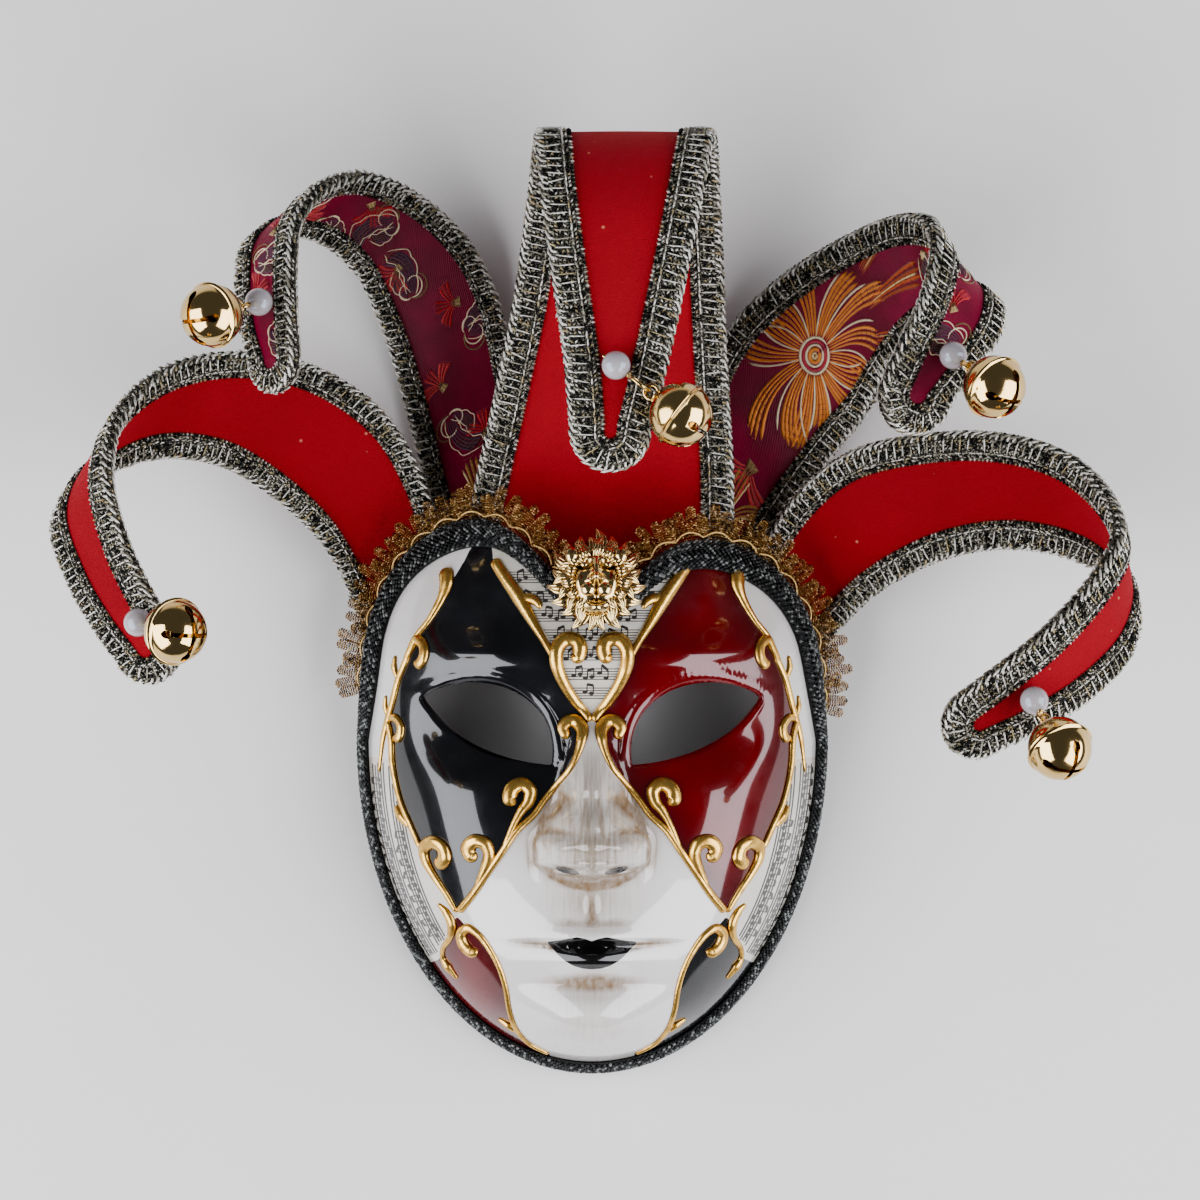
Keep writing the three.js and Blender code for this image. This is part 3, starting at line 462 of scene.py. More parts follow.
def add_balls(sculpt, centres, axes, halves, tints, form=STITCH):
    """Adds ellipsoids; axes hold each one's three unit directions and halves its half-sizes."""
    points, groups = form
    placed = centres[:, None] + np.einsum("pk,nk,nkc->npc", points, halves, axes)
    shift = (np.arange(len(centres)) * len(points))[:, None, None]
    faces = [(group[None] + shift).reshape(-1, group.shape[1]) for group in groups]
    tints = np.broadcast_to(np.atleast_2d(tints), centres.shape)
    sculpt.add(placed, faces, np.repeat(tints, len(points), axis=0))


def picked(rng, palette, weights, count):
    return np.array(palette)[rng.choice(len(palette), count, p=weights)]


def add_lane(sculpt, rng, path, normals, pitch, size, lean, palette, weights, form=STITCH):
    """Lays a row of stitches along a path, each turned by lean degrees from its run."""
    along = run_lengths(path)
    count = int(along[-1] / pitch)
    targets = (np.arange(count) + 0.5) * along[-1] / count
    centres = resampled(path, along, targets)
    up = unit(resampled(normals, along, targets))
    ahead = unit(resampled(np.gradient(path, axis=0), along, targets))
    turn = np.radians(lean + rng.normal(0, UNEVEN_LEAN, count))[:, None]
    axis = ahead * np.cos(turn) + np.cross(up, ahead) * np.sin(turn)
    axis = unit(axis - up * np.sum(axis * up, axis=1, keepdims=True))
    axes = np.stack([axis, np.cross(up, axis), up], axis=1)
    halves = np.array(size) / 2 * rng.uniform(*UNEVEN, (count, 3))
    add_balls(sculpt, centres, axes, halves, picked(rng, palette, weights, count), form)


def clipped(plan, triangles, field):
    """The part of a plan mesh where field is above zero, cut along the field's zero line."""
    inside = field > 0
    kept = inside[triangles].sum(axis=1)
    mixed = triangles[(kept > 0) & (kept < 3)]
    alone = inside[mixed] == (kept[(kept > 0) & (kept < 3)] == 1)[:, None]
    alone_first = (alone.argmax(axis=1)[:, None] + np.arange(3)) % 3
    a, b, c = np.take_along_axis(mixed, alone_first, axis=1).T
    edges, which = np.unique(
        np.sort(np.vstack([np.c_[a, b], np.c_[a, c]]), axis=1), axis=0, return_inverse=True
    )
    near, far = field[edges[:, 0]], field[edges[:, 1]]
    share = (near / (near - far))[:, None]
    cuts = mix(plan[edges[:, 0]], plan[edges[:, 1]], share)
    ab, ac = which.reshape(2, -1) + len(plan)
    lone = inside[a]
    parts = np.vstack([
        triangles[kept == 3],
        np.c_[a, ab, ac][lone],
        np.c_[ab, b, c][~lone],
        np.c_[ab, c, ac][~lone],
    ])
    used, corners = np.unique(parts, return_inverse=True)
    return np.vstack([plan, cuts])[used], corners.reshape(-1, 3)


def thickened(count, triangles):
    """Face groups of a closed wall: a sheet, its copy count points later, and the walls between them."""
    edges = np.vstack([triangles[:, [0, 1]], triangles[:, [1, 2]], triangles[:, [2, 0]]])
    forward = edges[:, 0] * count + edges[:, 1]
    backward = edges[:, 1] * count + edges[:, 0]
    start, end = edges[~np.isin(forward, backward)].T
    walls = np.c_[end, start, start + count, end + count]
    return [triangles, triangles[:, ::-1] + count, walls]


def polar_triangles(rings, spokes):
    """Triangles of a disc with one middle point and rings of spokes points, seen counterclockwise."""
    j = np.arange(spokes)
    k = (j + 1) % spokes
    r = (np.arange(rings - 1) * spokes)[:, None] + 1
    a, b, c, d = r + j, r + j + spokes, r + k + spokes, r + k
    fan = np.stack([0 * j, 1 + j, 1 + k], axis=-1)
    ring_halves = [np.stack(corners, axis=-1).reshape(-1, 3) for corners in ((a, b, c), (a, c, d))]
    return np.vstack([fan, *ring_halves])


# The face's surface

def rim_plan(angles):
    """Plan points of the face's rim; angle 0 is the chin and a half turn the notch of the brow."""
    x = FACE_HALF_WIDTH * np.sin(angles)
    u = np.abs(x) / FACE_HALF_WIDTH
    rise = LOBE_RISE - LOBE_LEAN * np.clip(x / LOBE_LEAN_REACH, -1, 1)
    lobes = rise * np.cbrt(np.maximum(0, 1 - u**3)) - NOTCH_DEPTH * np.exp(-((u / NOTCH_WIDTH) ** 2))
    drop = -CHIN_DROP * np.cos(angles)
    return np.stack([x, WIDEST_Y + np.where(np.cos(angles) >= 0, drop, lobes)], axis=-1)


def rim_angles(count):
    """Angles that space points evenly along the rim, half of them on each side."""
    fine = np.linspace(0, math.pi, 2000)
    sides = []
    for sign in (1, -1):
        along = run_lengths(rim_plan(sign * fine))
        even = np.linspace(0, along[-1], count // 2, endpoint=False)
        sides.append(np.interp(even, along, fine))
    step = math.pi - sides[1][1:]
    return np.concatenate([sides[0], [math.pi], (math.pi + step)[::-1]])


def dome_radius(x, y):
    above = y - WIDEST_Y
    half = FACE_HALF_WIDTH + CROWN_FLARE * smooth(above / CROWN_FLARE_REACH)
    return np.hypot(x / half, above / np.where(above < 0, CHIN_DROP, CROWN_REACH))


def bump_sum(x, y, rows):
    """Rows of swellings added up, those off the middle on both sides."""
    total = np.zeros(np.shape(x))
    for middle, level, across, along, rise in rows:
        for place in {middle, -middle}:
            total += rise * np.exp(-(((x - place) / across) ** 2) - ((y - level) / along) ** 2)
    return total


def nose_height(x, y):
    levels, rises, halves = NOSE_SECTIONS.T
    i = np.clip(np.searchsorted(levels, y) - 1, 0, len(levels) - 2)
    share = smooth((y - levels[i]) / (levels[i + 1] - levels[i]))
    rise = mix(rises[i], rises[i + 1], share)
    half = mix(halves[i], halves[i + 1], share)
    return rise * 0.5 * (1 + np.cos(math.pi * np.minimum(1, np.abs(x) / half)))


def eye_outline(side):
    """The closed plan outline of an eye hole: two curves between its corners."""
    t = np.linspace(0, 1, EYE_STEPS)[:, None]
    s = 1 - t
    outward, inward = EYE_UPPER_CONTROLS
    lower = s**2 * EYE_INNER + 2 * s * t * EYE_LOWER_CONTROL + t**2 * EYE_OUTER
    upper = s**3 * EYE_OUTER + 3 * s**2 * t * outward + 3 * s * t**2 * inward + t**3 * EYE_INNER
    return np.vstack([lower[:-1], upper[:-1]]) * [side, 1]


def eye_distance(x, y):
    """Distance out of the eye holes; negative inside them."""
    return -outline_distance(np.abs(x), y, eye_outline(1))


def nostril_field(x, y):
    """1 in the middle of each nostril's slit, and falling away from it."""
    dx, dy = np.abs(x) - NOSTRIL[0], y - NOSTRIL[1]
    run = dx * math.cos(NOSTRIL_TILT) + dy * math.sin(NOSTRIL_TILT)
    rise = dy * math.cos(NOSTRIL_TILT) - dx * math.sin(NOSTRIL_TILT)
    return np.exp(-((run / NOSTRIL_HALF[0]) ** 2) - (rise / NOSTRIL_HALF[1]) ** 2)


def face_height(x, y):
    radius = dome_radius(x, y)
    dome = DOME_HEIGHT * np.sqrt(np.maximum(0, 1 - radius**DOME_ROUNDNESS))
    relief = bump_sum(x, y, SWELLINGS) + nose_height(x, y)
    return dome + smooth((1 - radius) / RELIEF_FADE) * relief


def eye_relief(x, y):
    """The upper lids over the eye holes, and the rolled edge of the holes."""
    out = eye_distance(x, y)
    slope = (EYE_OUTER - EYE_INNER)[1] / (EYE_OUTER - EYE_INNER)[0]
    above = y - EYE_INNER[1] - (np.abs(x) - EYE_INNER[0]) * slope
    lid = LID_RISE * smooth((LID_WIDTH + LID_EDGE - out) / LID_EDGE) * smooth(above / LID_FADE)
    return lid - EYE_ROLL * np.clip(1 - out / EYE_ROLL_REACH, 0, 1) ** 2


def face_normal(x, y):
    step = SLOPE_STEP
    pull = np.minimum(1, STEEPEST_RADIUS / np.maximum(dome_radius(x, y), 1e-6))
    px, py = x * pull, WIDEST_Y + (y - WIDEST_Y) * pull
    slope_x = (face_height(px + step, py) - face_height(px - step, py)) / (2 * step)
    slope_y = (face_height(px, py + step) - face_height(px, py - step)) / (2 * step)
    return unit(np.stack([-slope_x, -slope_y, np.ones_like(slope_x)], axis=-1))


def on_face(plan, lift=0.0):
    """Points over plan points, raised off the face along its normal, and the normals."""
    x, y = plan[..., 0], plan[..., 1]
    normals = face_normal(x, y)
    points = np.stack([x, y, face_height(x, y)], axis=-1)
    return points + np.asarray(lift)[..., None] * normals, normals


def sided(points, side):
    """Plan points of the right side, or their twins on the left."""
    return np.array(points, float) * [side, 1]


def bent(points, side):
    """A smooth plan path through points of the right side, or its twin on the left."""
    steps = STROKE_STEPS * (len(points) - 1) + 1
    return smooth_curve(sided(points, side), np.linspace(0, 1, steps))


def inside_rim(shares, rim):
    """Plan points at shares of the way from the shell's middle to points of the rim."""
    return SHELL_MIDDLE + shares * (rim - SHELL_MIDDLE)


# Painted fields of the face, as plan outlines

FIELD_TOP = 100
BROW_TOP = (38, FIELD_TOP)
NOSE_ROOT = (1.2, 28)
EYE_FIELD_TOPS = {1: [(51, FIELD_TOP)], -1: [(-50.6, 80.2), (-39, FIELD_TOP)]}
JAW_TOP = (49.4, -44)
JAW_RIM = [(14, -115), (75, -85), (64, -66)]
PAPER_RIM = [(64, -66), (95, -60), (120, 0), (110, 14)]
HEART_FLANK = HEART_LINE[3::-1]
NOSE_BORDER = NOSE_LINE[3:]
TEMPLE_BORDER = [*CHEEK_CURL[:4], *TEMPLE_INNER[::-1], *TEMPLE_OUTER[7:0:-1]]
PAPER_BORDER = [*TEMPLE_INNER[2:], *CHEEK_CURL[3::-1], *JAW_LINE[2:6]]
CHIN_BORDER = CHIN_LINE[4:]
JAW_BORDER = JAW_LINE[5:1:-1]
LIP_HALF = [
    (0, -61.8), (3.4, -61.5), (6.6, -60.5), (9.6, -58.8), (12.2, -56.6), (14.6, -54.1),
    (17, -52), (11.5, -51), (5.5, -49.6), (2.4, -50.2), (0, -51.2),
]


def brow_border(side):
    return np.vstack([sided([BROW_TOP], side), bent(BROW_LINE, side), bent(HEART_FLANK, side)])


def eye_field(side):
    """The painted quarter round an eye: from the brow line to the nose line, out to the temple."""
    borders = [bent(NOSE_BORDER, side), bent(TEMPLE_BORDER, side)]
    return np.vstack([brow_border(side), sided([NOSE_ROOT], side), *borders, EYE_FIELD_TOPS[side]])


def jaw_field(side):
    """The painted triangle between a chin line and the rim."""
    top, rim = sided([JAW_TOP], side), sided(JAW_RIM, side)
    return np.vstack([top, bent(CHIN_BORDER, side), rim, bent(JAW_BORDER, side)])


def forehead_field():
    return np.vstack([brow_border(1), brow_border(-1)[::-1]])


def side_field(side):
    """The paper between a temple line and the rim."""
    return np.vstack([bent(PAPER_BORDER, side), sided(PAPER_RIM, side)])


def lip_field():
    return np.vstack([LIP_HALF, sided(LIP_HALF[::-1], -1)])


def deepest(x, y, *outlines):
    return np.max([outline_distance(x, y, outline) for outline in outlines], axis=0)


# x, y, reach across, reach along and strength of the brown on the white paint: partly old glaze left in
# streaks, as on the chin, and partly painted shade on the nose, beside and under it and round the mouth
GLAZE_AND_SHADE_SPOTS = [
    (0, -5, 14, 28, 1.1),  # ridge of the nose
    (0, -18, 13, 9, 0.5),  # tip of the nose
    (0, -37, 15, 7, 0.55),  # over the lip
    (20, -14, 5, 10, 0.5),  # beside the nose
    (23, -52.2, 6, 1.3, 1.0),  # corner of the mouth
    (0, -70, 17, 6, 0.45),  # under the lip
    (0, -88, 22, 12, 0.4),  # chin
]
HOLLOW_REACH = 2.4
# a nostril's shallow slit gets painted shade, in black, where its field is above this
NOSTRIL_SHADE_FROM = 1 / 3


def paint_fields(plan):
    """At each point of the shell: distances into the painted fields and into the lips' black paint and the
    nostrils' painted shade, how hollow it is, and the brown of old glaze and painted shade.
    """
    x, y = plan.T
    around = HOLLOW_REACH * np.array([(1, 0), (-1, 0), (0, 1), (0, -1)])
    level = np.mean([face_height(x + dx, y + dy) for dx, dy in around], axis=0)
    return {
        "black": deepest(x, y, eye_field(-1), jaw_field(1)),
        "red": deepest(x, y, eye_field(1), jaw_field(-1)),
        "paper": deepest(x, y, forehead_field(), side_field(1), side_field(-1)),
        # the lips' black paint, and the nostrils' painted shade
        "ink": np.maximum(deepest(x, y, lip_field()), nostril_field(x, y) / NOSTRIL_SHADE_FROM - 1),
        "hollow": np.clip(level - face_height(x, y), -1, 1),
        "glaze": bump_sum(x, y, GLAZE_AND_SHADE_SPOTS),
    }


# Materials

class Shader:
    """A node material with one Principled surface, and short ways to feed its sockets."""

    def __init__(self, name, **values):
        self.material = bpy.data.materials.new(name)
        self.material.use_nodes = True
        self.tree = self.material.node_tree
        self.surface = self.tree.nodes["Principled BSDF"]
        for key, value in values.items():
            self.set(key.replace("_", " "), value)

    def set(self, socket, value):
        self.feed(self.surface.inputs[socket], value)

    def feed(self, socket, value):
        if isinstance(value, bpy.types.NodeSocket):
            self.tree.links.new(value, socket)
        elif isinstance(value, tuple) and len(value) == 3 and socket.type == "RGBA":
            socket.default_value = (*value, 1)
        else:
            socket.default_value = value

    def node(self, kind, inputs, **settings):
        made = self.tree.nodes.new("ShaderNode" + kind)
        for key, value in settings.items():
            setattr(made, key, value)
        for key, value in inputs.items():
            self.feed(made.inputs[key], value)
        return made

    def field(self, name):
        return self.node("Attribute", {}, attribute_name=name).outputs["Fac"]

    def tint(self):
        return self.node("Attribute", {}, attribute_name="tint").outputs["Color"]

    def coordinate(self, stretch, space="Object"):
        """The place in a space, stretched by one number or by one for each axis."""
        place = self.node("TexCoord", {}).outputs[space]
        scale = stretch if isinstance(stretch, tuple) else (stretch, stretch, stretch)
        return self.node("Mapping", {"Vector": place, "Scale": scale}).outputs["Vector"]

    def noise(self, stretch, detail=3.0):
        """Noise whose cells are about one over stretch, in metres."""
        inputs = {"Vector": self.coordinate(stretch), "Scale": 1.0, "Detail": detail}
        return self.node("TexNoise", inputs).outputs["Fac"]

    def math(self, operation, first, second):
        return self.node("Math", {0: first, 1: second}, operation=operation).outputs[0]

    def times(self, value, factor):
        return self.math("MULTIPLY", value, factor)

    def ramp(self, value, low, high, start=0.0, end=1.0):
        inputs = {"Value": value, "From Min": low, "From Max": high, "To Min": start, "To Max": end}
        return self.node("MapRange", inputs).outputs["Result"]

    def blend(self, share, first, second, mode="MIX"):
        settings = {"data_type": "RGBA", "blend_type": mode}
        return self.node("Mix", {0: share, 6: first, 7: second}, **settings).outputs[2]

    def bump(self, height, depth):
        """Turns a height from 0 to 1 into relief of that depth, in metres."""
        inputs = {"Height": height, "Distance": depth, "Strength": 1.0}
        self.set("Normal", self.node("Bump", inputs).outputs["Normal"])

    def colour_by_tint(self, colour):
        """Sets the base colour to a colour times the points' own tint."""
        self.set("Base Color", self.blend(1.0, colour, self.tint(), "MULTIPLY"))


# half the width over which one paint gives way to the next, and how far its border wanders
PAINT_EDGE = 0.12
PAINT_WANDER = 0.9
# how far in from its border the red is darker
RED_EDGE = 14.0
WHITE_PAINT = (0.69, 0.665, 0.635)
# brown of the old glaze and of the painted shade on the white
BROWN_GLAZE_AND_SHADE = (0.28, 0.232, 0.18)
BROWN_STAIN = (0.2, 0.12, 0.055)
PAPERS = (0.56, 0.53, 0.47), (0.7, 0.68, 0.63)
OLD_PAPER = (0.42, 0.35, 0.24)
REDS = (0.06, 0.001, 0.0025), (0.155, 0.0018, 0.0036)
RED_PATCH = (0.085, 0.0012, 0.0024)
BLACK_PAINTS = (0.004, 0.004, 0.005), (0.009, 0.009, 0.011)
LIP_PAINT_AND_NOSTRIL_SHADE = (0.006, 0.005, 0.005)
PATCHY = 0.35
GLAZE_PATCHY = 0.07


def lacquer():
    """Glossy lacquer over hand-painted fields, with brown glaze left in the hollows and brush streaks, and
    brown painted shade on the nose and round the mouth.
    """
    made = Shader(
        "lacquer", Specular_IOR_Level=0.25, Coat_Weight=1.0, Coat_Roughness=0.06, Coat_IOR=1.62
    )
    wander = made.times(made.math("SUBTRACT", made.noise(260), 0.5), PAINT_WANDER)

    def inside(name):
        return made.ramp(made.math("ADD", made.field(name), wander), -PAINT_EDGE, PAINT_EDGE)

    streaks = made.ramp(made.noise((900, 60, 90), 6.0), 0.38, 0.7)
    patches = made.ramp(made.noise(45, 2.0), 0.42, 0.66)
    # brown over the white: old glaze in streaks, and painted shade on the nose, beside and under it and round
    # the mouth
    glaze_and_shade_amount = made.math("ADD", made.field("glaze"), made.times(patches, GLAZE_PATCHY))
    glaze = made.times(made.ramp(streaks, 0.0, 1.0, 0.55, 1.0), glaze_and_shade_amount)
    hollow = made.ramp(made.field("hollow"), 0.05, 0.38)
    stain = made.times(hollow, made.ramp(made.noise((500, 240, 300)), 0.3, 0.7, 0.5, 0.95))
    white = made.blend(stain, made.blend(glaze, WHITE_PAINT, BROWN_GLAZE_AND_SHADE), BROWN_STAIN)
    fibres = made.blend(made.noise(900, 5.0), *PAPERS)
    paper = made.blend(made.times(patches, PATCHY), fibres, OLD_PAPER)
    brushed = made.blend(made.ramp(made.field("red"), 0.0, RED_EDGE), *REDS)
    red = made.blend(made.times(patches, PATCHY), brushed, RED_PATCH)
    colour = made.blend(inside("paper"), white, paper)
    colour = made.blend(inside("red"), colour, red)
    colour = made.blend(inside("black"), colour, made.blend(patches, *BLACK_PAINTS))
    # the lips' black paint, and painted shade in black in the nostrils' slits
    inked_and_shaded = made.ramp(made.field("ink"), -PAINT_EDGE, PAINT_EDGE)
    made.set("Base Color", made.blend(inked_and_shaded, colour, LIP_PAINT_AND_NOSTRIL_SHADE))
    made.set("Roughness", made.ramp(made.noise(120, 5.0), 0.3, 0.8, 0.16, 0.34))
    made.bump(made.noise((170, 120, 170), 2.0), 0.00012)
    return made.material


def lining():
    made = Shader("lining", Roughness=0.85)
    grain = made.noise(700, 6.0)
    made.set("Base Color", made.blend(grain, (0.012, 0.011, 0.01), (0.05, 0.045, 0.04)))
    made.bump(grain, 0.0006)
    return made.material


def print_ink():
    made = Shader("print_ink", Coat_Weight=1.0, Coat_Roughness=0.05)
    worn = made.noise(1400, 4.0)
    made.set("Base Color", made.blend(worn, (0.008, 0.007, 0.006), (0.05, 0.042, 0.034)))
    made.set("Roughness", made.ramp(worn, 0.3, 0.7, 0.3, 0.5))
    return made.material


def gilding():
    """Old gold paint over raised paste: the tint darkens towards the foot with painted shade, with worn, dull
    places.
    """
    made = Shader("gilding", Metallic=0.92, Specular_IOR_Level=0.6)
    worn = made.ramp(made.noise(220, 5.0), 0.46, 0.78)
    made.colour_by_tint(made.blend(worn, (0.78, 0.5, 0.15), (0.36, 0.19, 0.05)))
    made.set("Roughness", made.ramp(worn, 0.0, 1.0, 0.24, 0.45))
    made.bump(made.noise(300), 0.00018)
    return made.material


def thread(name, metal, shine, fuzz, grain=3200, relief=0.0003):
    """Stitches in the colours of their tints, with fine strands across each."""
    made = Shader(name, Metallic=metal, Sheen_Weight=fuzz, Sheen_Roughness=0.4)
    strands = made.noise(grain, 2.0)
    made.colour_by_tint(made.ramp(strands, 0.25, 0.75, 0.55, 1.15))
    made.set("Roughness", made.ramp(strands, 0.2, 0.8, shine, shine + 0.2))
    made.bump(strands, relief)
    return made.material


def braid_ground():
    """The woven ground of the horns' braid: black with specks of silver yarn."""
    made = Shader("braid_ground", Metallic=0.5)
    specks = made.ramp(made.noise(1800, 2.0), 0.5, 0.6)
    made.set("Base Color", made.blend(specks, BRAID_GROUND, (0.46, 0.43, 0.34)))
    made.set("Roughness", made.ramp(specks, 0.0, 1.0, 0.6, 0.3))
    made.bump(specks, 0.0005)
    return made.material


def velvet():
    """Short red pile: dark straight on and brighter at a glance, brushed in patches, with some lint."""
    made = Shader("velvet", Roughness=0.9, Sheen_Weight=0.55, Sheen_Roughness=0.35)
    made.set("Sheen Tint", (1.0, 0.12, 0.12))
    pile = made.noise(2600)
    brushed = made.ramp(made.noise(28), 0.3, 0.7)
    red = made.blend(pile, (0.19, 0.001, 0.004), (0.46, 0.0027, 0.012))
    colour = made.blend(made.times(brushed, PATCHY), red, (0.23, 0.001, 0.005))
    cells = made.node("TexVoronoi", {"Vector": made.coordinate(85), "Scale": 1.0})
    lint = made.ramp(cells.outputs["Distance"], 0.03, 0.06, 0.55, 0.0)
    made.set("Base Color", made.blend(lint, colour, (0.75, 0.35, 0.22)))
    made.bump(pile, 0.0005)
    return made.material


def brocade():
    """Burgundy satin ground with a fine diagonal weave, in the cloth's own coordinates."""
    made = Shader("brocade", Sheen_Weight=0.3, Sheen_Roughness=0.3, Specular_IOR_Level=0.25)
    made.set("Sheen Tint", (1.0, 0.1, 0.2))
    weave = {"Vector": made.coordinate(1.0, "UV"), "Scale": 5.5, "Distortion": 0.4, "Detail": 1.0}
    twill = made.node("TexWave", weave, bands_direction="DIAGONAL").outputs["Fac"]
    cloudy = made.ramp(made.noise(60, 4.0), 0.35, 0.7)
    ground = made.blend(cloudy, (0.11, 0.002, 0.014), (0.23, 0.003, 0.035))
    made.set("Base Color", made.blend(made.times(twill, 0.3), ground, (0.27, 0.01, 0.05)))
    made.set("Roughness", made.ramp(twill, 0.0, 1.0, 0.34, 0.55))
    made.bump(twill, 0.00012)
    return made.material


def bright_gold(name, tones, smudging, shine, grain, relief):
    """Bright gold with dull smudges and a fine grain; the tint's painted shade leaves hollows dark."""
    made = Shader(name, Metallic=1.0)
    smudge = made.noise(smudging, 5.0)
    made.colour_by_tint(made.blend(smudge, *tones))
    made.set("Roughness", made.ramp(smudge, 0.35, 0.75, *shine))
    made.bump(made.noise(grain), relief)
    return made.material


def nacre():
    """Pearl: a soft milky body under a clear coat with a faint rainbow film."""
    made = Shader("nacre", Roughness=0.22, Coat_Weight=1.0, Coat_Roughness=0.05, Subsurface_Weight=0.15)
    made.set("Subsurface Radius", (0.9, 0.8, 0.75))
    made.set("Subsurface Scale", 0.002)
    made.set("Thin Film Thickness", 380.0)
    made.set("Base Color", made.blend(made.noise(150, 4.0), (0.47, 0.43, 0.43), (0.38, 0.36, 0.39)))
    return made.material


def studio_floor():
    made = Shader("studio_floor", Roughness=0.6)
    made.set("Base Color", made.blend(made.noise(9), (0.72, 0.71, 0.69), (0.77, 0.76, 0.74)))
    return made.material


BELL_GOLDS = (0.78, 0.58, 0.28), (0.68, 0.46, 0.19)
LION_GOLDS = (0.79, 0.63, 0.35), (0.63, 0.45, 0.2)
LACQUER = lacquer()
LINING = lining()
PRINT_INK = print_ink()
GILDING = gilding()
SILVER_THREAD = thread("silver_thread", 0.8, 0.24, 0.0)
BLACK_THREAD = thread("black_thread", 0.35, 0.16, 0.0, 2200, 0.0004)
GOLD_THREAD = thread("gold_thread", 0.8, 0.3, 0.0)
SILK_THREAD = thread("silk_thread", 0.15, 0.36, 0.3)
BRAID_BASE = braid_ground()
VELVET = velvet()
BROCADE = brocade()
POLISHED_GOLD = bright_gold("polished_gold", BELL_GOLDS, 90, (0.05, 0.2), 400, 0.00004)
CAST_GOLD = bright_gold("cast_gold", LION_GOLDS, 160, (0.1, 0.24), 700, 0.00006)
NACRE = nacre()


# The lacquered shell

def face_shell():
    shares = np.sin(np.linspace(0, 1, SHELL_RINGS + 1)[1:] * math.pi / 2) ** RING_CROWDING
    rings = inside_rim(shares[:, None, None], rim_plan(rim_angles(SHELL_SPOKES)))
    plan = np.vstack([SHELL_MIDDLE[None], rings.reshape(-1, 2)])
    triangles = polar_triangles(SHELL_RINGS, SHELL_SPOKES)
    plan, triangles = clipped(plan, triangles, eye_distance(*plan.T))
    x, y = plan.T
    front, normals = on_face(plan)
    front[:, 2] += eye_relief(x, y) - NOSTRIL_DEPTH * nostril_field(x, y)
    back = front - SHELL_WALL * normals
    fields = {key: np.tile(values, 2) for key, values in paint_fields(plan).items()}
    shell = Sculpt()
    shell.add(np.vstack([front, back]), thickened(len(plan), triangles), finishes=[0, 1, 0])
    shell.piece("face", [LACQUER, LINING], "lacquer", ["face_shell"], sharp_degrees=50, fields=fields)


# Music paper: printed staves and notes on the forehead and the sides

PRINT_LIFT = 0.05
PRINT_SUNK = 0.12
PRINT_MARGIN = 2.2
STAVE_LINES = 5
STAVE_GAP = 0.95
STAVE_LINE_HALF = 0.15
STAVE_LEAST = 4
STAVE_STEP = 0.7
NOTE_HALF = (0.95, 0.7)
NOTE_SIDES = 10
NOTE_FROM = 1.4
NOTE_STEP = 2.3
NOTE_INSET = 0.6
# shares of a note's step between beamed pairs
PAIR_STEPS = (1.7, 2.3)
STEM = 2.9
STEM_HALF = 0.2
BEAM_HALF = 0.48
FOREHEAD_STAVES = (36.5, 43.5, 50.5, 57.5, 64.5)
UPPER_STAVES = (71.5, 78.5)
UPPER_FROM = 4
UPPER_STEPS = 24
UPPER_RIM_MARGIN = 6
# side staves lie at shares of the way to the rim, between two angles of it
SIDE_STAVES = (0.83, 0.912)
SIDE_GAP = 0.0135
SIDE_ANGLES = (0.62, 1.62)
SIDE_STEPS = 90
SIDE_LINE_HALF = 0.255
SIDE_MARGINS = (1.5, 2)
SIDE_RISE = 0.8


def add_print(sculpt, outline_plan):
    """A flat printed mark: a closed plan polygon raised a hair off the face, with its foot below it."""
    top, _ = on_face(outline_plan, PRINT_LIFT)
    foot, _ = on_face(outline_plan, -PRINT_SUNK)
    sides = len(outline_plan)
    j = np.arange(sides)
    k = (j + 1) % sides
    walls = np.stack([j, j + sides, k + sides, k], axis=-1)
    sculpt.add(np.vstack([top, foot]), [j[None], j[None, ::-1] + sides, walls])


def add_printed_line(sculpt, plan, half):
    """A printed line along a plan path, as a flat raised strip."""
    ahead = unit(np.gradient(plan, axis=0))
    across = np.stack([-ahead[:, 1], ahead[:, 0]], axis=-1)
    corners = [on_face(plan + side * half * across, lift)[0] for side, lift in
               ((-1, PRINT_LIFT), (1, PRINT_LIFT), (1, -PRINT_SUNK), (-1, -PRINT_SUNK))]
    sculpt.add(np.stack(corners[::-1], axis=1), skin(len(plan), 4))


def add_note(sculpt, head, along, up):
    """A note in plan: an oval head, and a stem up from its edge. Gives the stem's top."""
    turns = full_turn(NOTE_SIDES)
    oval = np.outer(NOTE_HALF[0] * np.cos(turns), along) + np.outer(NOTE_HALF[1] * np.sin(turns), up)
    add_print(sculpt, head + oval)
    foot = head + (NOTE_HALF[0] - STEM_HALF) * along
    top = foot + STEM * up
    add_printed_line(sculpt, np.linspace(foot, top, 3), STEM_HALF)
    return top


def add_stave_notes(sculpt, rng, place, length):
    """Beamed pairs of notes over a stave; place gives the plan point and directions at a run and rise."""
    at = NOTE_FROM
    while at < length - NOTE_STEP - 1:
        tops = []
        for run in (at, at + NOTE_STEP):
            head, along, up = place(run, STAVE_GAP * rng.integers(0, STAVE_LINES) * 0.5 + 0.4)
            tops.append(add_note(sculpt, head, along, up))
        add_printed_line(sculpt, np.linspace(*tops, 4), BEAM_HALF)
        at += NOTE_STEP * rng.uniform(*PAIR_STEPS)


def brow_reach(level):
    """How far the forehead's paper reaches from the middle at a level, less its margin."""
    brow = brow_border(1)[::-1]
    return np.interp(level, brow[:, 1], brow[:, 0]) - PRINT_MARGIN


def level_place(start, base, way):
    """Gives the places of notes on a level stave that runs from start."""
    def place(run, rise):
        return np.array([start + way * run, base + rise]), np.array([way, 0]), np.array([0, 1])

    return place


def stave_levels(base):
    return [base + STAVE_GAP * line for line in range(STAVE_LINES)]


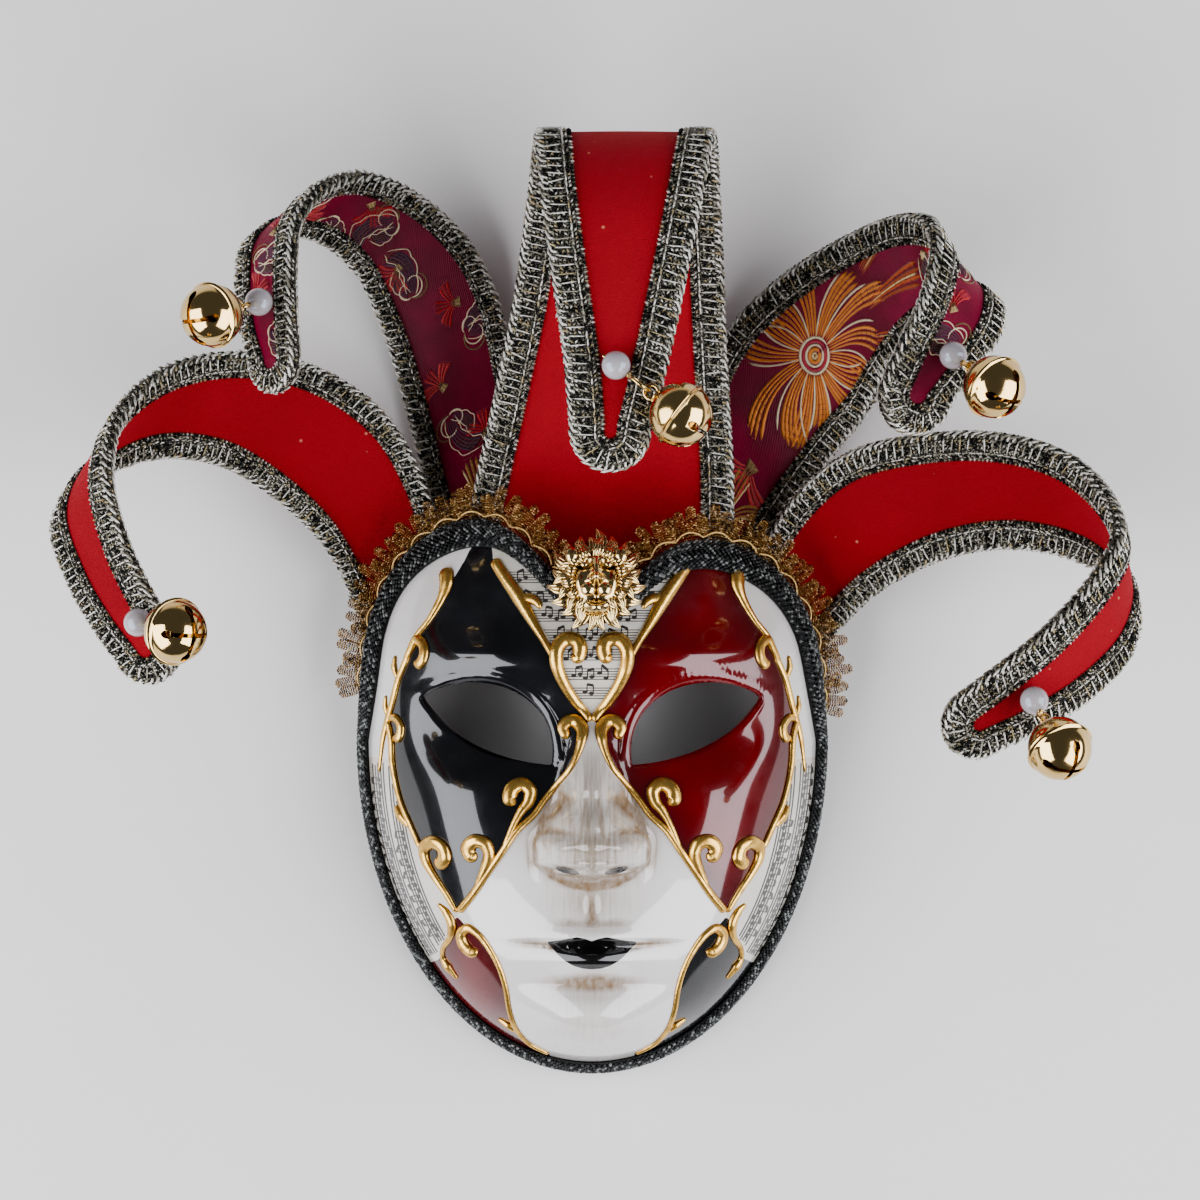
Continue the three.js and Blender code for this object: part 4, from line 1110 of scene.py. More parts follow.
def forehead_print(sculpt, rng):
    for base in FOREHEAD_STAVES:
        for level in stave_levels(base):
            half = brow_reach(level)
            if half > 1:
                run = np.linspace(-half, half, max(STAVE_LEAST, int(half / STAVE_STEP)))
                add_printed_line(sculpt, np.stack([run, 0 * run + level], axis=-1), STAVE_LINE_HALF)
        reach = brow_reach(base) - NOTE_INSET
        add_stave_notes(sculpt, rng, level_place(-reach, base, 1), 2 * reach)


def upper_print(sculpt, rng, side):
    """Short staves beside the lion, between the rim's notch and a brow line."""
    rim = rim_plan(np.linspace(-math.pi, math.pi, 360, endpoint=False))
    for base in UPPER_STAVES:
        for level in stave_levels(base):
            run = np.linspace(UPPER_FROM, brow_reach(level), UPPER_STEPS)
            plan = np.stack([side * run, 0 * run + level], axis=-1)
            kept = plan[outline_distance(*plan.T, rim) > UPPER_RIM_MARGIN]
            if len(kept) > STAVE_LEAST:
                add_printed_line(sculpt, kept, STAVE_LINE_HALF)
                start, length = kept[0, 0], abs(kept[-1, 0] - kept[0, 0])
        add_stave_notes(sculpt, rng, level_place(start, base, side), length)


def side_print(sculpt, rng, side):
    """Staves that run down the side of the face, beside the temple line."""
    rim = rim_plan(side * np.linspace(*SIDE_ANGLES, SIDE_STEPS))
    line_margin, note_margin = SIDE_MARGINS
    field = side_field(side)
    for first in SIDE_STAVES:
        for line in range(STAVE_LINES):
            plan = inside_rim(first + SIDE_GAP * line, rim)
            kept = plan[outline_distance(*plan.T, field) > line_margin]
            if len(kept) > STAVE_LEAST:
                add_printed_line(sculpt, kept, SIDE_LINE_HALF)
        middle = inside_rim(first + SIDE_GAP, rim)
        middle = middle[outline_distance(*middle.T, field) > note_margin]
        along = run_lengths(middle)
        ahead = unit(np.gradient(middle, axis=0))

        def place(run, rise):
            spot = resampled(middle, along, [run])[0]
            go = resampled(ahead, along, [run])[0]
            out = side * np.array([go[1], -go[0]])
            return spot + SIDE_RISE * rise * out, go, out

        add_stave_notes(sculpt, rng, place, along[-1])


def music_print():
    rng = np.random.default_rng(7)
    sheet = Sculpt()
    forehead_print(sheet, rng)
    for side in (1, -1):
        side_print(sheet, rng, side)
        upper_print(sheet, rng, side)
    sheet.piece("music_print", [PRINT_INK], "lacquer", sharp_degrees=40)


# Gilt scrolls

# colour of the painted shade at each stroke's foot
GILT_FOOT_SHADE = np.array([0.24, 0.17, 0.12])
GILT_FULLNESS = 1.16
GILT_SIDES = 14
# height of a stroke's foot, and its rise as a share of its half-width
GILT_HEIGHTS = (0.3, 0.72)
# where round a stroke's section its painted shade gives way to full brightness
GILT_SHADE = (0.02, 0.5)


def add_stroke(sculpt, points, halves, side):
    """A raised, rounded stroke with round ends along plan points, darker at its foot with painted shade."""
    path, normals = on_face(bent(points, side))
    shares = np.linspace(0, 1, len(path))
    widths = GILT_FULLNESS * np.interp(shares, np.linspace(0, 1, len(halves)), halves)
    along = run_lengths(path)
    inset = np.clip(np.minimum(along, along[-1] - along) / widths, 0.01, 1)
    widths = widths * np.sqrt(1 - (1 - inset) ** 2)
    foot, rise = GILT_HEIGHTS
    tints = foot_shades(len(path), GILT_SIDES, GILT_FOOT_SHADE, *GILT_SHADE)
    sculpt.add_tube(path, normals, widths, foot * inset + rise * widths, GILT_SIDES, tints)


def gilt_scroll(name, side):
    sculpt = Sculpt()
    for points, halves in SCROLLS[name]:
        add_stroke(sculpt, points, halves, side)
    word = "right" if side > 0 else "left"
    replaced = [f"scroll_{name}_{word}"]
    sculpt.piece(f"gilt_{name}_{word}", [GILDING], "gilding", replaced, sharp_degrees=60)


# Braid and lace round the face

RIM_POINTS = 720
RIM_DEPTHS = 60
RIM_REACH = 0.36
FACE_BRAID_LIFT = 0.7
# shares of the braid's width, and heights over the face, of the band under its cords
FACE_BRAID_PROFILE = [(0, 0.4), (0.03, 1.4), (0.25, 2.5), (0.5, 2.9), (0.75, 2.5), (0.97, 1.4), (1, 0.4)]
BAND_FLOOR = 0.3
FACE_BRAID_WIDTHS = (11.5, 13.5)
CROWN_FROM = 30
CROWN_RISE = 40
NOTCH_NARROWING = 0.25
NOTCH_REACH = 15
# shares of the braid's width where each row of slanted cords starts and ends, and its way along the rim
CORD_ROWS = [(0.03, 0.37, 1), (0.31, 0.69, -1), (0.63, 0.97, 1)]
CORDS = 300
CORD_RUN = 0.0075
CORD_DASHES = 6
CORD_LIFT = 1.5
CORD_CROWN = 1.9
CORD_HALVES = (0.74, 0.8)
CORD_OVERLAP = 0.66
CORD_FLOOR = 1.1


def rim_lanes():
    """Gives lanes round the rim: points and normals at a share of the braid's width in from it."""
    rim = rim_plan(rim_angles(RIM_POINTS))
    shares = 1 - RIM_REACH * np.linspace(0, 1, RIM_DEPTHS) ** 2
    plan = inside_rim(shares[:, None, None], rim)
    points = np.dstack([plan, face_height(plan[..., 0], plan[..., 1])])
    steps = np.linalg.norm(np.diff(points, axis=0), axis=2)
    depths = np.vstack([np.zeros(RIM_POINTS), np.cumsum(steps, axis=0)])
    crown = smooth((rim[:, 1] - CROWN_FROM) / CROWN_RISE)
    notch = NOTCH_NARROWING * crown * np.exp(-((rim[:, 0] / NOTCH_REACH) ** 2))
    widths = mix(*FACE_BRAID_WIDTHS, crown) * (1 - notch)

    def lane(share, height):
        wanted = FACE_BRAID_LIFT + share * (widths - FACE_BRAID_LIFT)
        at = np.array([np.interp(wanted[k], depths[:, k], shares) for k in range(RIM_POINTS)])
        return on_face(inside_rim(at[:, None], rim), height)

    return lane


def add_cord_row(sculpt, rng, lane, start, end, way):
    """A row of slanted cords round the rim, each one a chain of short twisted dashes."""
    centres, ups = [], []
    for step, share in enumerate(np.linspace(start, end, CORD_DASHES)):
        path, normals = lane(share, CORD_LIFT + CORD_CROWN * math.sin(math.pi * share))
        path = np.vstack([path, path[:1]])
        normals = np.vstack([normals, normals[:1]])
        path[:, 2] = np.maximum(path[:, 2], CORD_FLOOR)
        along = run_lengths(path)
        turn = np.arange(CORDS) / CORDS + way * CORD_RUN * step / (CORD_DASHES - 1)
        centres.append(resampled(path, along, turn % 1 * along[-1]))
        ups.append(unit(resampled(normals, along, turn % 1 * along[-1])))
    centres, ups = np.stack(centres, axis=1), np.stack(ups, axis=1)
    ahead = np.gradient(centres, axis=1)
    half_length = CORD_OVERLAP * np.linalg.norm(ahead, axis=-1)
    axis = unit(ahead - ups * np.sum(ahead * ups, axis=-1, keepdims=True))
    axes = np.stack([axis, np.cross(ups, axis), ups], axis=2).reshape(-1, 3, 3)
    count = half_length.size
    halves = np.c_[half_length.ravel(), np.tile(CORD_HALVES, (count, 1))]
    halves = halves * rng.uniform(*UNEVEN, (count, 3))
    # pale grey dashes among the black are partly painted glints
    tints = picked(rng, BLACKS_AND_GLINTS, BLACK_MIX, count)
    add_balls(sculpt, centres.reshape(-1, 3), axes, halves, tints, FINE_STITCH)


def face_braid():
    """Black gimp braid: a band under three rows of slanted cords that make chevrons."""
    rng = np.random.default_rng(11)
    lane = rim_lanes()
    sculpt = Sculpt()
    sections = np.stack([lane(*spot)[0] for spot in FACE_BRAID_PROFILE], axis=1)
    sections[..., 2] = np.maximum(sections[..., 2], BAND_FLOOR)
    sculpt.add(sections, skin(RIM_POINTS, len(FACE_BRAID_PROFILE), looped=True), BLACKS_AND_GLINTS[0])
    for start, end, way in CORD_ROWS:
        add_cord_row(sculpt, rng, lane, start, end, way)
    sculpt.piece("gimp_braid", [BLACK_THREAD], "black_braid", ["face_braid"])


# share of each side of the rim, from the chin, that has no lace
LACE_START = 12 / 21
LACE_SCALLOPS = 25
LACE_DROP = 0.9
LACE_BAND = (0.6, 1.7, 2.8, 3.9)
LACE_BAND_PITCH = 1.0
LACE_LEAN = 50
LACE_FINGERS = 4
LACE_SPREAD = 26
LACE_UNEVEN_SPREAD = 5
# where a scallop's fingers start: out from the rim, and along it for the outer ones
LACE_FOOT = (1.5, 4.2)
LACE_REACH = 12
LACE_OUTER_LOSS = 3.2
LACE_LENGTHS = (0.8, 1.05)
# share by which fingers are shorter in the notch of the brow, and its reach
LACE_NOTCH = (0.5, 12)
LACE_HALF = 2.1
LACE_CROWN = 0.9
LACE_UNEVEN_RISE = 0.12
LACE_BEAD = (1.3, 0.75, 0.85)
LACE_PITCH = 0.86
# offset across a lace finger as a share of its half-width, and the way its beads lean
LACE_ROWS = [(-0.8, 1), (-0.4, -1), (0, 1), (0.4, -1), (0.8, 1)]
CORD_RADIUS = 0.42
CORD_SIDES = 8
CORD_TINT = (0.86, 0.6, 0.26)
CORD_OUT = (0.9, 2.2)
CORD_UP = 0.9
UP = np.array([0.0, 0.0, 1.0])


def crown_rim():
    """The rim from one temple over the brow to the other: points, and the ways along it and out of it."""
    first = int(LACE_START * RIM_POINTS / 2)
    points, _ = on_face(rim_plan(rim_angles(RIM_POINTS)[first:RIM_POINTS - first]))
    ahead = unit(np.gradient(points, axis=0) * [1, 1, 0])
    return points, ahead, np.cross(ahead, UP)


def add_bead_row(sculpt, rng, path, pitch, way):
    normals = np.broadcast_to(UP, path.shape)
    add_lane(sculpt, rng, path, normals, pitch, LACE_BEAD, way * LACE_LEAN, GOLDS, GOLD_MIX, SPECK)


def add_lace_finger(sculpt, rng, base, direction, length):
    """One thick finger of lace with a round tip: rows of looped thread side by side."""
    sideways = np.cross(UP, direction)
    shares = np.linspace(0, 1, 8)
    for place, way in LACE_ROWS:
        end = length - LACE_HALF * (1 - math.sqrt(1 - place**2))
        spread = place * LACE_HALF * np.interp(shares, [0, 0.5, 1], [0.75, 1, 0.85])
        path = base + np.outer(shares * end, direction) + np.outer(spread, sideways)
        crown = LACE_CROWN * (1 - place**2) * np.sin(math.pi * shares)
        path[:, 2] += crown + rng.normal(0, LACE_UNEVEN_RISE)
        add_bead_row(sculpt, rng, path, LACE_PITCH, way)


def gold_lace():
    """Fans of lace fingers that stand out from under the braid, with a pale cord looped along their foot."""
    rng = np.random.default_rng(5)
    points, ahead, out = crown_rim()
    sculpt = Sculpt()
    base = points - LACE_DROP * UP
    for i, distance in enumerate(LACE_BAND):
        add_bead_row(sculpt, rng, base + distance * out, LACE_BAND_PITCH, 1 if i % 2 else -1)
    along = run_lengths(points)
    foot_out, foot_along = LACE_FOOT
    loss, notch_reach = LACE_NOTCH
    for i in range(LACE_SCALLOPS):
        middle = (i + 0.5) / LACE_SCALLOPS * along[-1]
        place, way, go = (resampled(values, along, [middle])[0] for values in (base, out, ahead))
        notch = 1 - loss * math.exp(-(((middle - along[-1] / 2) / notch_reach) ** 2))
        for share in np.linspace(-1, 1, LACE_FINGERS):
            turn = math.radians(LACE_SPREAD * share + rng.normal(0, LACE_UNEVEN_SPREAD))
            direction = unit(way * math.cos(turn) + go * math.sin(turn))
            start = place + way * foot_out + go * share * foot_along
            length = (LACE_REACH - LACE_OUTER_LOSS * share**2) * notch * rng.uniform(*LACE_LENGTHS)
            add_lace_finger(sculpt, rng, start, direction, length)
    wave = np.abs(np.sin(along / along[-1] * math.pi * LACE_SCALLOPS))[:, None]
    cord = points + out * (CORD_OUT[0] + CORD_OUT[1] * wave) + CORD_UP * UP
    normals = np.broadcast_to(UP, cord.shape)
    sculpt.add_tube(cord, normals, CORD_RADIUS, CORD_RADIUS, CORD_SIDES, CORD_TINT)
    sculpt.piece("crown_lace", [GOLD_THREAD], "gold_lace", ["gold_lace"])


# Horns

class Horn:
    """A wired strip of cloth between two edge curves that ends in a round tip."""

    def __init__(self, name):
        rows = np.array(HORNS[name], float)
        self.name = name
        self.curve_a, self.curve_b = rows[:, :3], rows[:, 3:]
        self.shares = np.linspace(0, 1, HORN_SAMPLES)
        a, b = self.edges(self.shares)
        self.widths = np.linalg.norm(b - a, axis=1)
        self.arc = run_lengths((a + b) / 2)
        last = [self.raw_normal(np.array([1.0]), across)[0] for across in (0, 1)]
        self.flat = unit(last[0] + last[1])

    def edges(self, shares):
        return smooth_curve(self.curve_a, shares), smooth_curve(self.curve_b, shares)

    def raw_normal(self, shares, across):
        step = 1e-3
        low, high = np.clip(shares - step, 0, 1), np.clip(shares + step, 0, 1)
        goes = [unit(end - start) for start, end in zip(self.edges(low), self.edges(high))]
        a, b = self.edges(shares)
        across = np.broadcast_to(across, np.shape(shares))[:, None]
        return unit(np.cross(mix(goes[0], goes[1], across), b - a))

    def normal(self, shares, across):
        """The strip's normal, which turns flat towards the tip."""
        share = smooth((shares - 1 + TIP_BLEND) / TIP_BLEND)[:, None]
        return unit(mix(self.raw_normal(shares, across), self.flat, share))

    def spot(self, shares, across):
        a, b = self.edges(shares)
        across = np.broadcast_to(across, np.shape(shares))
        return mix(a, b, across[:, None]), self.normal(shares, across)

    def tip_frame(self):
        a, b = (edge[0] for edge in self.edges(np.array([1.0])))
        middle, reach = (a + b) / 2, (a - b) / 2
        return middle, reach, np.linalg.norm(reach) * np.cross(unit(b - a), self.flat)

    def border(self):
        """Frames round the strip, up edge a, over the tip and down edge b."""
        shares = np.linspace(0, 1, BORDER_ROWS)
        a, b = self.edges(shares)
        width = np.linalg.norm(b - a, axis=1)
        reach = np.minimum(BRAID_SHOWN[self.name], BRAID_SHARE * width)
        inward = unit(b - a)
        sides = []
        for edge, way, outer, inner in ((a, inward, 0 * width, reach / width),
                                        (b, -inward, 0 * width + 1, 1 - reach / width)):
            sides.append([edge, way, self.normal(shares, outer), self.normal(shares, inner), reach])
        middle, spoke, ahead = self.tip_frame()
        turns = np.linspace(0, math.pi, BORDER_TIP_ROWS + 2)[1:-1]
        round_tip = np.outer(np.cos(turns), spoke) + np.outer(np.sin(turns), ahead)
        flat = np.broadcast_to(self.flat, round_tip.shape)
        tip = [middle + round_tip, -unit(round_tip), flat, flat, np.full(len(turns), reach[-1])]
        return [np.concatenate([up, over, down[::-1]]) for up, over, down in zip(sides[0], tip, sides[1])]

    def on_cloth(self, runs, offsets, side, raise_by):
        """Points over one side of the cloth, from runs along its middle and offsets across it."""
        shares = np.interp(runs, self.arc, self.shares)
        across = 0.5 + np.asarray(offsets) / np.interp(runs, self.arc, self.widths)
        points, normals = self.spot(shares, across)
        height = HORN_HALF_WALL + HORN_PUFF * np.sin(math.pi * np.clip(across, 0, 1)) + raise_by
        return points + side * height[:, None] * normals, side * normals

    def clear_half(self, runs):
        """Half the width of cloth up to the fold of the braids, which cover its edges."""
        return np.interp(runs, self.arc, self.widths) / 2 - BRAID_FOLD_DEPTH


def horn_cloth(horn, material, slot):
    """The strip itself: both faces a little puffed between the braids, closed along its edges."""
    shares = np.linspace(0, 1, HORN_ROWS)
    across = np.linspace(0, 1, HORN_COLUMNS)
    rows = [horn.spot(shares, np.full(HORN_ROWS, share)) for share in across]
    points = np.stack([row[0] for row in rows], axis=1)
    normals = np.stack([row[1] for row in rows], axis=1)
    middle, spoke, ahead = horn.tip_frame()
    turns = np.linspace(0, TIP_TURN, TIP_ROWS + 1)[1:]
    lean = np.multiply.outer(np.cos(turns), 1 - 2 * across)
    tip = middle + lean[..., None] * spoke + np.sin(turns)[:, None, None] * ahead
    points = np.concatenate([points, tip])
    normals = np.concatenate([normals, np.broadcast_to(horn.flat, tip.shape)])
    height = (HORN_HALF_WALL + HORN_PUFF * np.sin(math.pi * across))[None, :, None]
    ring = np.concatenate([points + normals * height, (points - normals * height)[:, ::-1]], axis=1)
    sculpt = Sculpt()
    sculpt.add(ring[:, ::-1], skin(len(ring), 2 * HORN_COLUMNS))
    made = sculpt.piece(f"cloth_{horn.name}", [material], slot, [f"horn_{horn.name}"], sharp_degrees=50)
    add_cloth_map(made.data, horn, len(ring))
    return made


def add_cloth_map(mesh, horn, runs):
    """A UV map in centimetres: along the strip and across it."""
    along = np.concatenate([
        np.interp(np.linspace(0, 1, HORN_ROWS), horn.shares, horn.arc),
        horn.arc[-1] + np.arange(1, runs - HORN_ROWS + 1) * TIP_ROW_GAP,
    ])
    across = np.linspace(0, horn.widths.max(), HORN_COLUMNS)
    ring = np.concatenate([across, across[::-1]])[::-1]
    spots = np.stack(np.meshgrid(along, ring, indexing="ij"), axis=-1).reshape(-1, 2) * 0.1
    corners = np.empty(len(mesh.loops), int)
    mesh.loops.foreach_get("vertex_index", corners)
    mesh.uv_layers.new(name="cloth").data.foreach_set("uv", spots[corners].ravel())


# distance in from the edge, height over the strip, pitch, stitch size, lean and palette of each lane
HORN_BRAID_LANES = [
    (0.4, 2.6, 2.3, (2.9, 1.15, 1.15), 62, "silver"),
    (2.2, 2.75, 1.5, (2.2, 0.85, 0.9), 34, "mixed"),
    (3.7, 2.75, 1.5, (2.2, 0.85, 0.9), -34, "mixed"),
    (5.3, 2.75, 1.5, (2.2, 0.85, 0.9), 34, "mixed"),
    (4.0, 3.05, 3.1, (7.0, 0.75, 0.7), 84, "silver"),
    (7.6, 3.2, 2.7, (3.2, 0.75, 0.65), 3, "silver"),
    (8.9, 2.75, 1.5, (2.2, 0.85, 0.9), -34, "mixed"),
    (10.3, 2.35, 1.6, (2.1, 1.1, 1.15), 78, "mixed"),
]
PALETTES = {"silver": (SILVERS, SILVER_MIX, STITCH), "mixed": (SILVERS, SPECKLE_MIX, SPECK)}
BRAID_PROFILE = [(10.8, 1.5), (10.8, 2.0), (9.0, 2.4), (1.0, 2.4), (-0.9, 1.5), (-1.3, 0)]
BRAID_FOLD = [(-0.6, -1.5), (-0.6, 1.5)]
# distance in from the edge, height, pitch, stitch size and lean of the two whipped edges
EDGE_CORD = (-0.8, 2.0, 3.7, (5.4, 1.15, 1.15), 24)
EDGE_MIX = [0.8, 0.2]
# the same, without a height, for the lane of stitches on the fold
FOLD_LANE = (-1.35, 1.8, (2.3, 1.1, 1.1), 58)


def horn_braid(horn):
    """Silver and black braid folded over the strip's edge: a dark base, lanes of stitches, whipped edges."""
    rng = np.random.default_rng(len(horn.name) * 13 + 1)
    edge, inward, outer_normal, inner_normal, reach = horn.border()
    scale = (reach / BRAID_WIDTH)[:, None]

    def lane(distance, height):
        share = np.clip(distance / BRAID_WIDTH, 0, 1)
        normals = unit(mix(outer_normal, inner_normal, share))
        return edge + inward * distance * scale + normals * height, normals

    sculpt = Sculpt()
    back = [(distance, -height) for distance, height in BRAID_PROFILE[-2::-1]]
    profile = [*BRAID_PROFILE, *back, *BRAID_FOLD]
    sections = np.stack([lane(*spot)[0] for spot in profile], axis=1)
    sculpt.add(sections[:, ::-1], skin(len(edge), len(profile)), BRAID_GROUND, [1, 1, 1])
    fit = float(np.mean(scale))
    for side in (1, -1):
        for distance, height, pitch, size, lean, palette in HORN_BRAID_LANES:
            path, normals = lane(distance, side * height)
            size = (fit * size[0], *size[1:])
            add_lane(sculpt, rng, path, side * normals, pitch, size, lean, *PALETTES[palette])
        distance, height, pitch, size, lean = EDGE_CORD
        path, normals = lane(distance, side * height)
        slant = unit(side * normals - inward)
        add_lane(sculpt, rng, path, slant, pitch, size, lean, SILVERS[:2], EDGE_MIX)
    distance, pitch, size, lean = FOLD_LANE
    path, _ = lane(distance, 0)
    add_lane(sculpt, rng, path, -inward, pitch, size, lean, *PALETTES["mixed"])
    return sculpt.piece(
        f"braid_{horn.name}", [SILVER_THREAD, BRAID_BASE], "silver_braid", [f"horn_braid_{horn.name}"]
    )


# Woven flowers of the brocade

ORANGE = (0.84, 0.29, 0.055)
DEEP_ORANGE = (0.5, 0.085, 0.012)
WOVEN_GOLD = (0.8, 0.62, 0.3)
ROSE = (0.52, 0.03, 0.06)
SCARLET = (0.55, 0.015, 0.015)
PLUM = (0.09, 0.02, 0.06)
OLIVE = (0.2, 0.12, 0.03)
RUST = (0.26, 0.05, 0.012)
CORAL = (0.6, 0.05, 0.045)
CREAM = (0.86, 0.76, 0.52)
BRONZE = (0.4, 0.19, 0.04)
FLOWER_TINTS = (SCARLET, CORAL)
CURL_STEPS = 34
CURL_TIGHTENING = 0.62
STRAND_SIDES = 4
STRAND_ENDS = 0.08
PETAL_STEPS = 12
# share of a petal's width that its strands fill, their half-height, and how far they are sunk in the cloth
PETAL_FILL = 0.9
PETAL_HEIGHT = 0.32
PETAL_SINK = 0.06
# how much shorter a petal is at its sides, and how much darker every second strand is
PETAL_ROUNDING = 0.08
PETAL_SHADE = 0.2
# shares along a petal, and its width and a leaf's at each as shares of the widest
PETAL_PLACES = (0, 0.4, 0.8, 1)
PETAL_WIDTHS = (0.4, 0.62, 1, 1.12)
LEAF_WIDTHS = (0.5, 0.72, 1.0, 0.2)
LEAF_STEPS = 22
LEAF_HALF = 0.21
LEAF_LOBES = 0.24
LEAF_FROM = 1.2
# half-width and half-height of hatched lines, of outlines and of curls, and the span of a hatched line
HATCH = (0.13, 0.36)
OUTLINE = (0.25, 0.38)
CURL = (0.32, 0.32)
HATCH_SPAN = np.linspace(-0.95, 0.95, 5)
RAY_WIDTHS = (0.26, 0.55)
RAY_HEIGHT = 0.38
RING_STEPS = 28
RING_HEIGHT = 0.3
# petals of the great flower: where they and the rays start, half-width, bend, and reaches of the shorter ones
GREAT_PETALS = 14
GREAT_FROM = 6.2
GREAT_RAY_FROM = 6.4
GREAT_HALF = 4.2
GREAT_BEND = 12
GREAT_SHORTER = 0.86
GREAT_RAY_REACH = 0.78
# bearings of a tulip's petals, then start, end and half-width of a petal and of the foot, over the reach
TULIP_FAN = (-48, 48, 0)
TULIP_PETAL = np.array([0.1, 1, 0.3])
TULIP_FOOT = np.array([-0.22, 0.26, 0.22])
# radius, half-width and tint of the rings in the great flower's eye
EYE_RINGS = [
    (6.4, 0.6, CREAM), (5.1, 0.7, ROSE), (3.8, 0.55, CREAM), (2.3, 0.85, ORANGE), (0.9, 0.55, WOVEN_GOLD),
]
# turn, radius and tint of a spray's curls, and bearing, reach and bend of its leaves
SPRAY_CURLS = [(250, 4.6, CREAM), (-230, 3.6, CREAM), (200, 5.6, OLIVE)]
SPRAY_LEAVES = [(165, 19, 30), (225, 12, -26)]
# bearings and reaches of the fronds, and bearings and offsets of the petals behind the great flower
FRONDS = [(-24, 20), (2, 26), (26, 22)]
BACK_PETALS = [(-26, -11), (24, 11), (0, 0)]
FRONDS_RUN = 12
GREAT_PLACE = (90, 0)
GREAT_REACHES = (42, 30)
BEYOND_GREAT = 156
SCATTER_FROM = 46
SCATTER_END = 12
SCATTER_STEP = 25.0
SCATTER_SHIFT = 0.36
TULIP_REACH = 8.4


def turned(centre, radius, turn, across=0.0):
    """Runs and offsets at a radius and a turn from a centre, and at a distance across that way."""
    runs = centre[0] + radius * np.cos(turn) - across * np.sin(turn)
    return runs, centre[1] + radius * np.sin(turn) + across * np.cos(turn)


def curl_plan(start, bearing, radius, turn):
    """A flat curl that leaves start at a bearing and tightens as it turns."""
    shares = np.linspace(0, 1, CURL_STEPS)
    headings = np.radians(bearing + turn * shares)
    strides = radius * abs(math.radians(turn)) / CURL_STEPS * mix(1, CURL_TIGHTENING, shares)
    steps = np.stack([np.cos(headings), np.sin(headings)], axis=-1) * strides[:, None]
    return np.vstack([[0, 0], np.cumsum(steps, axis=0)[:-1]]) + start


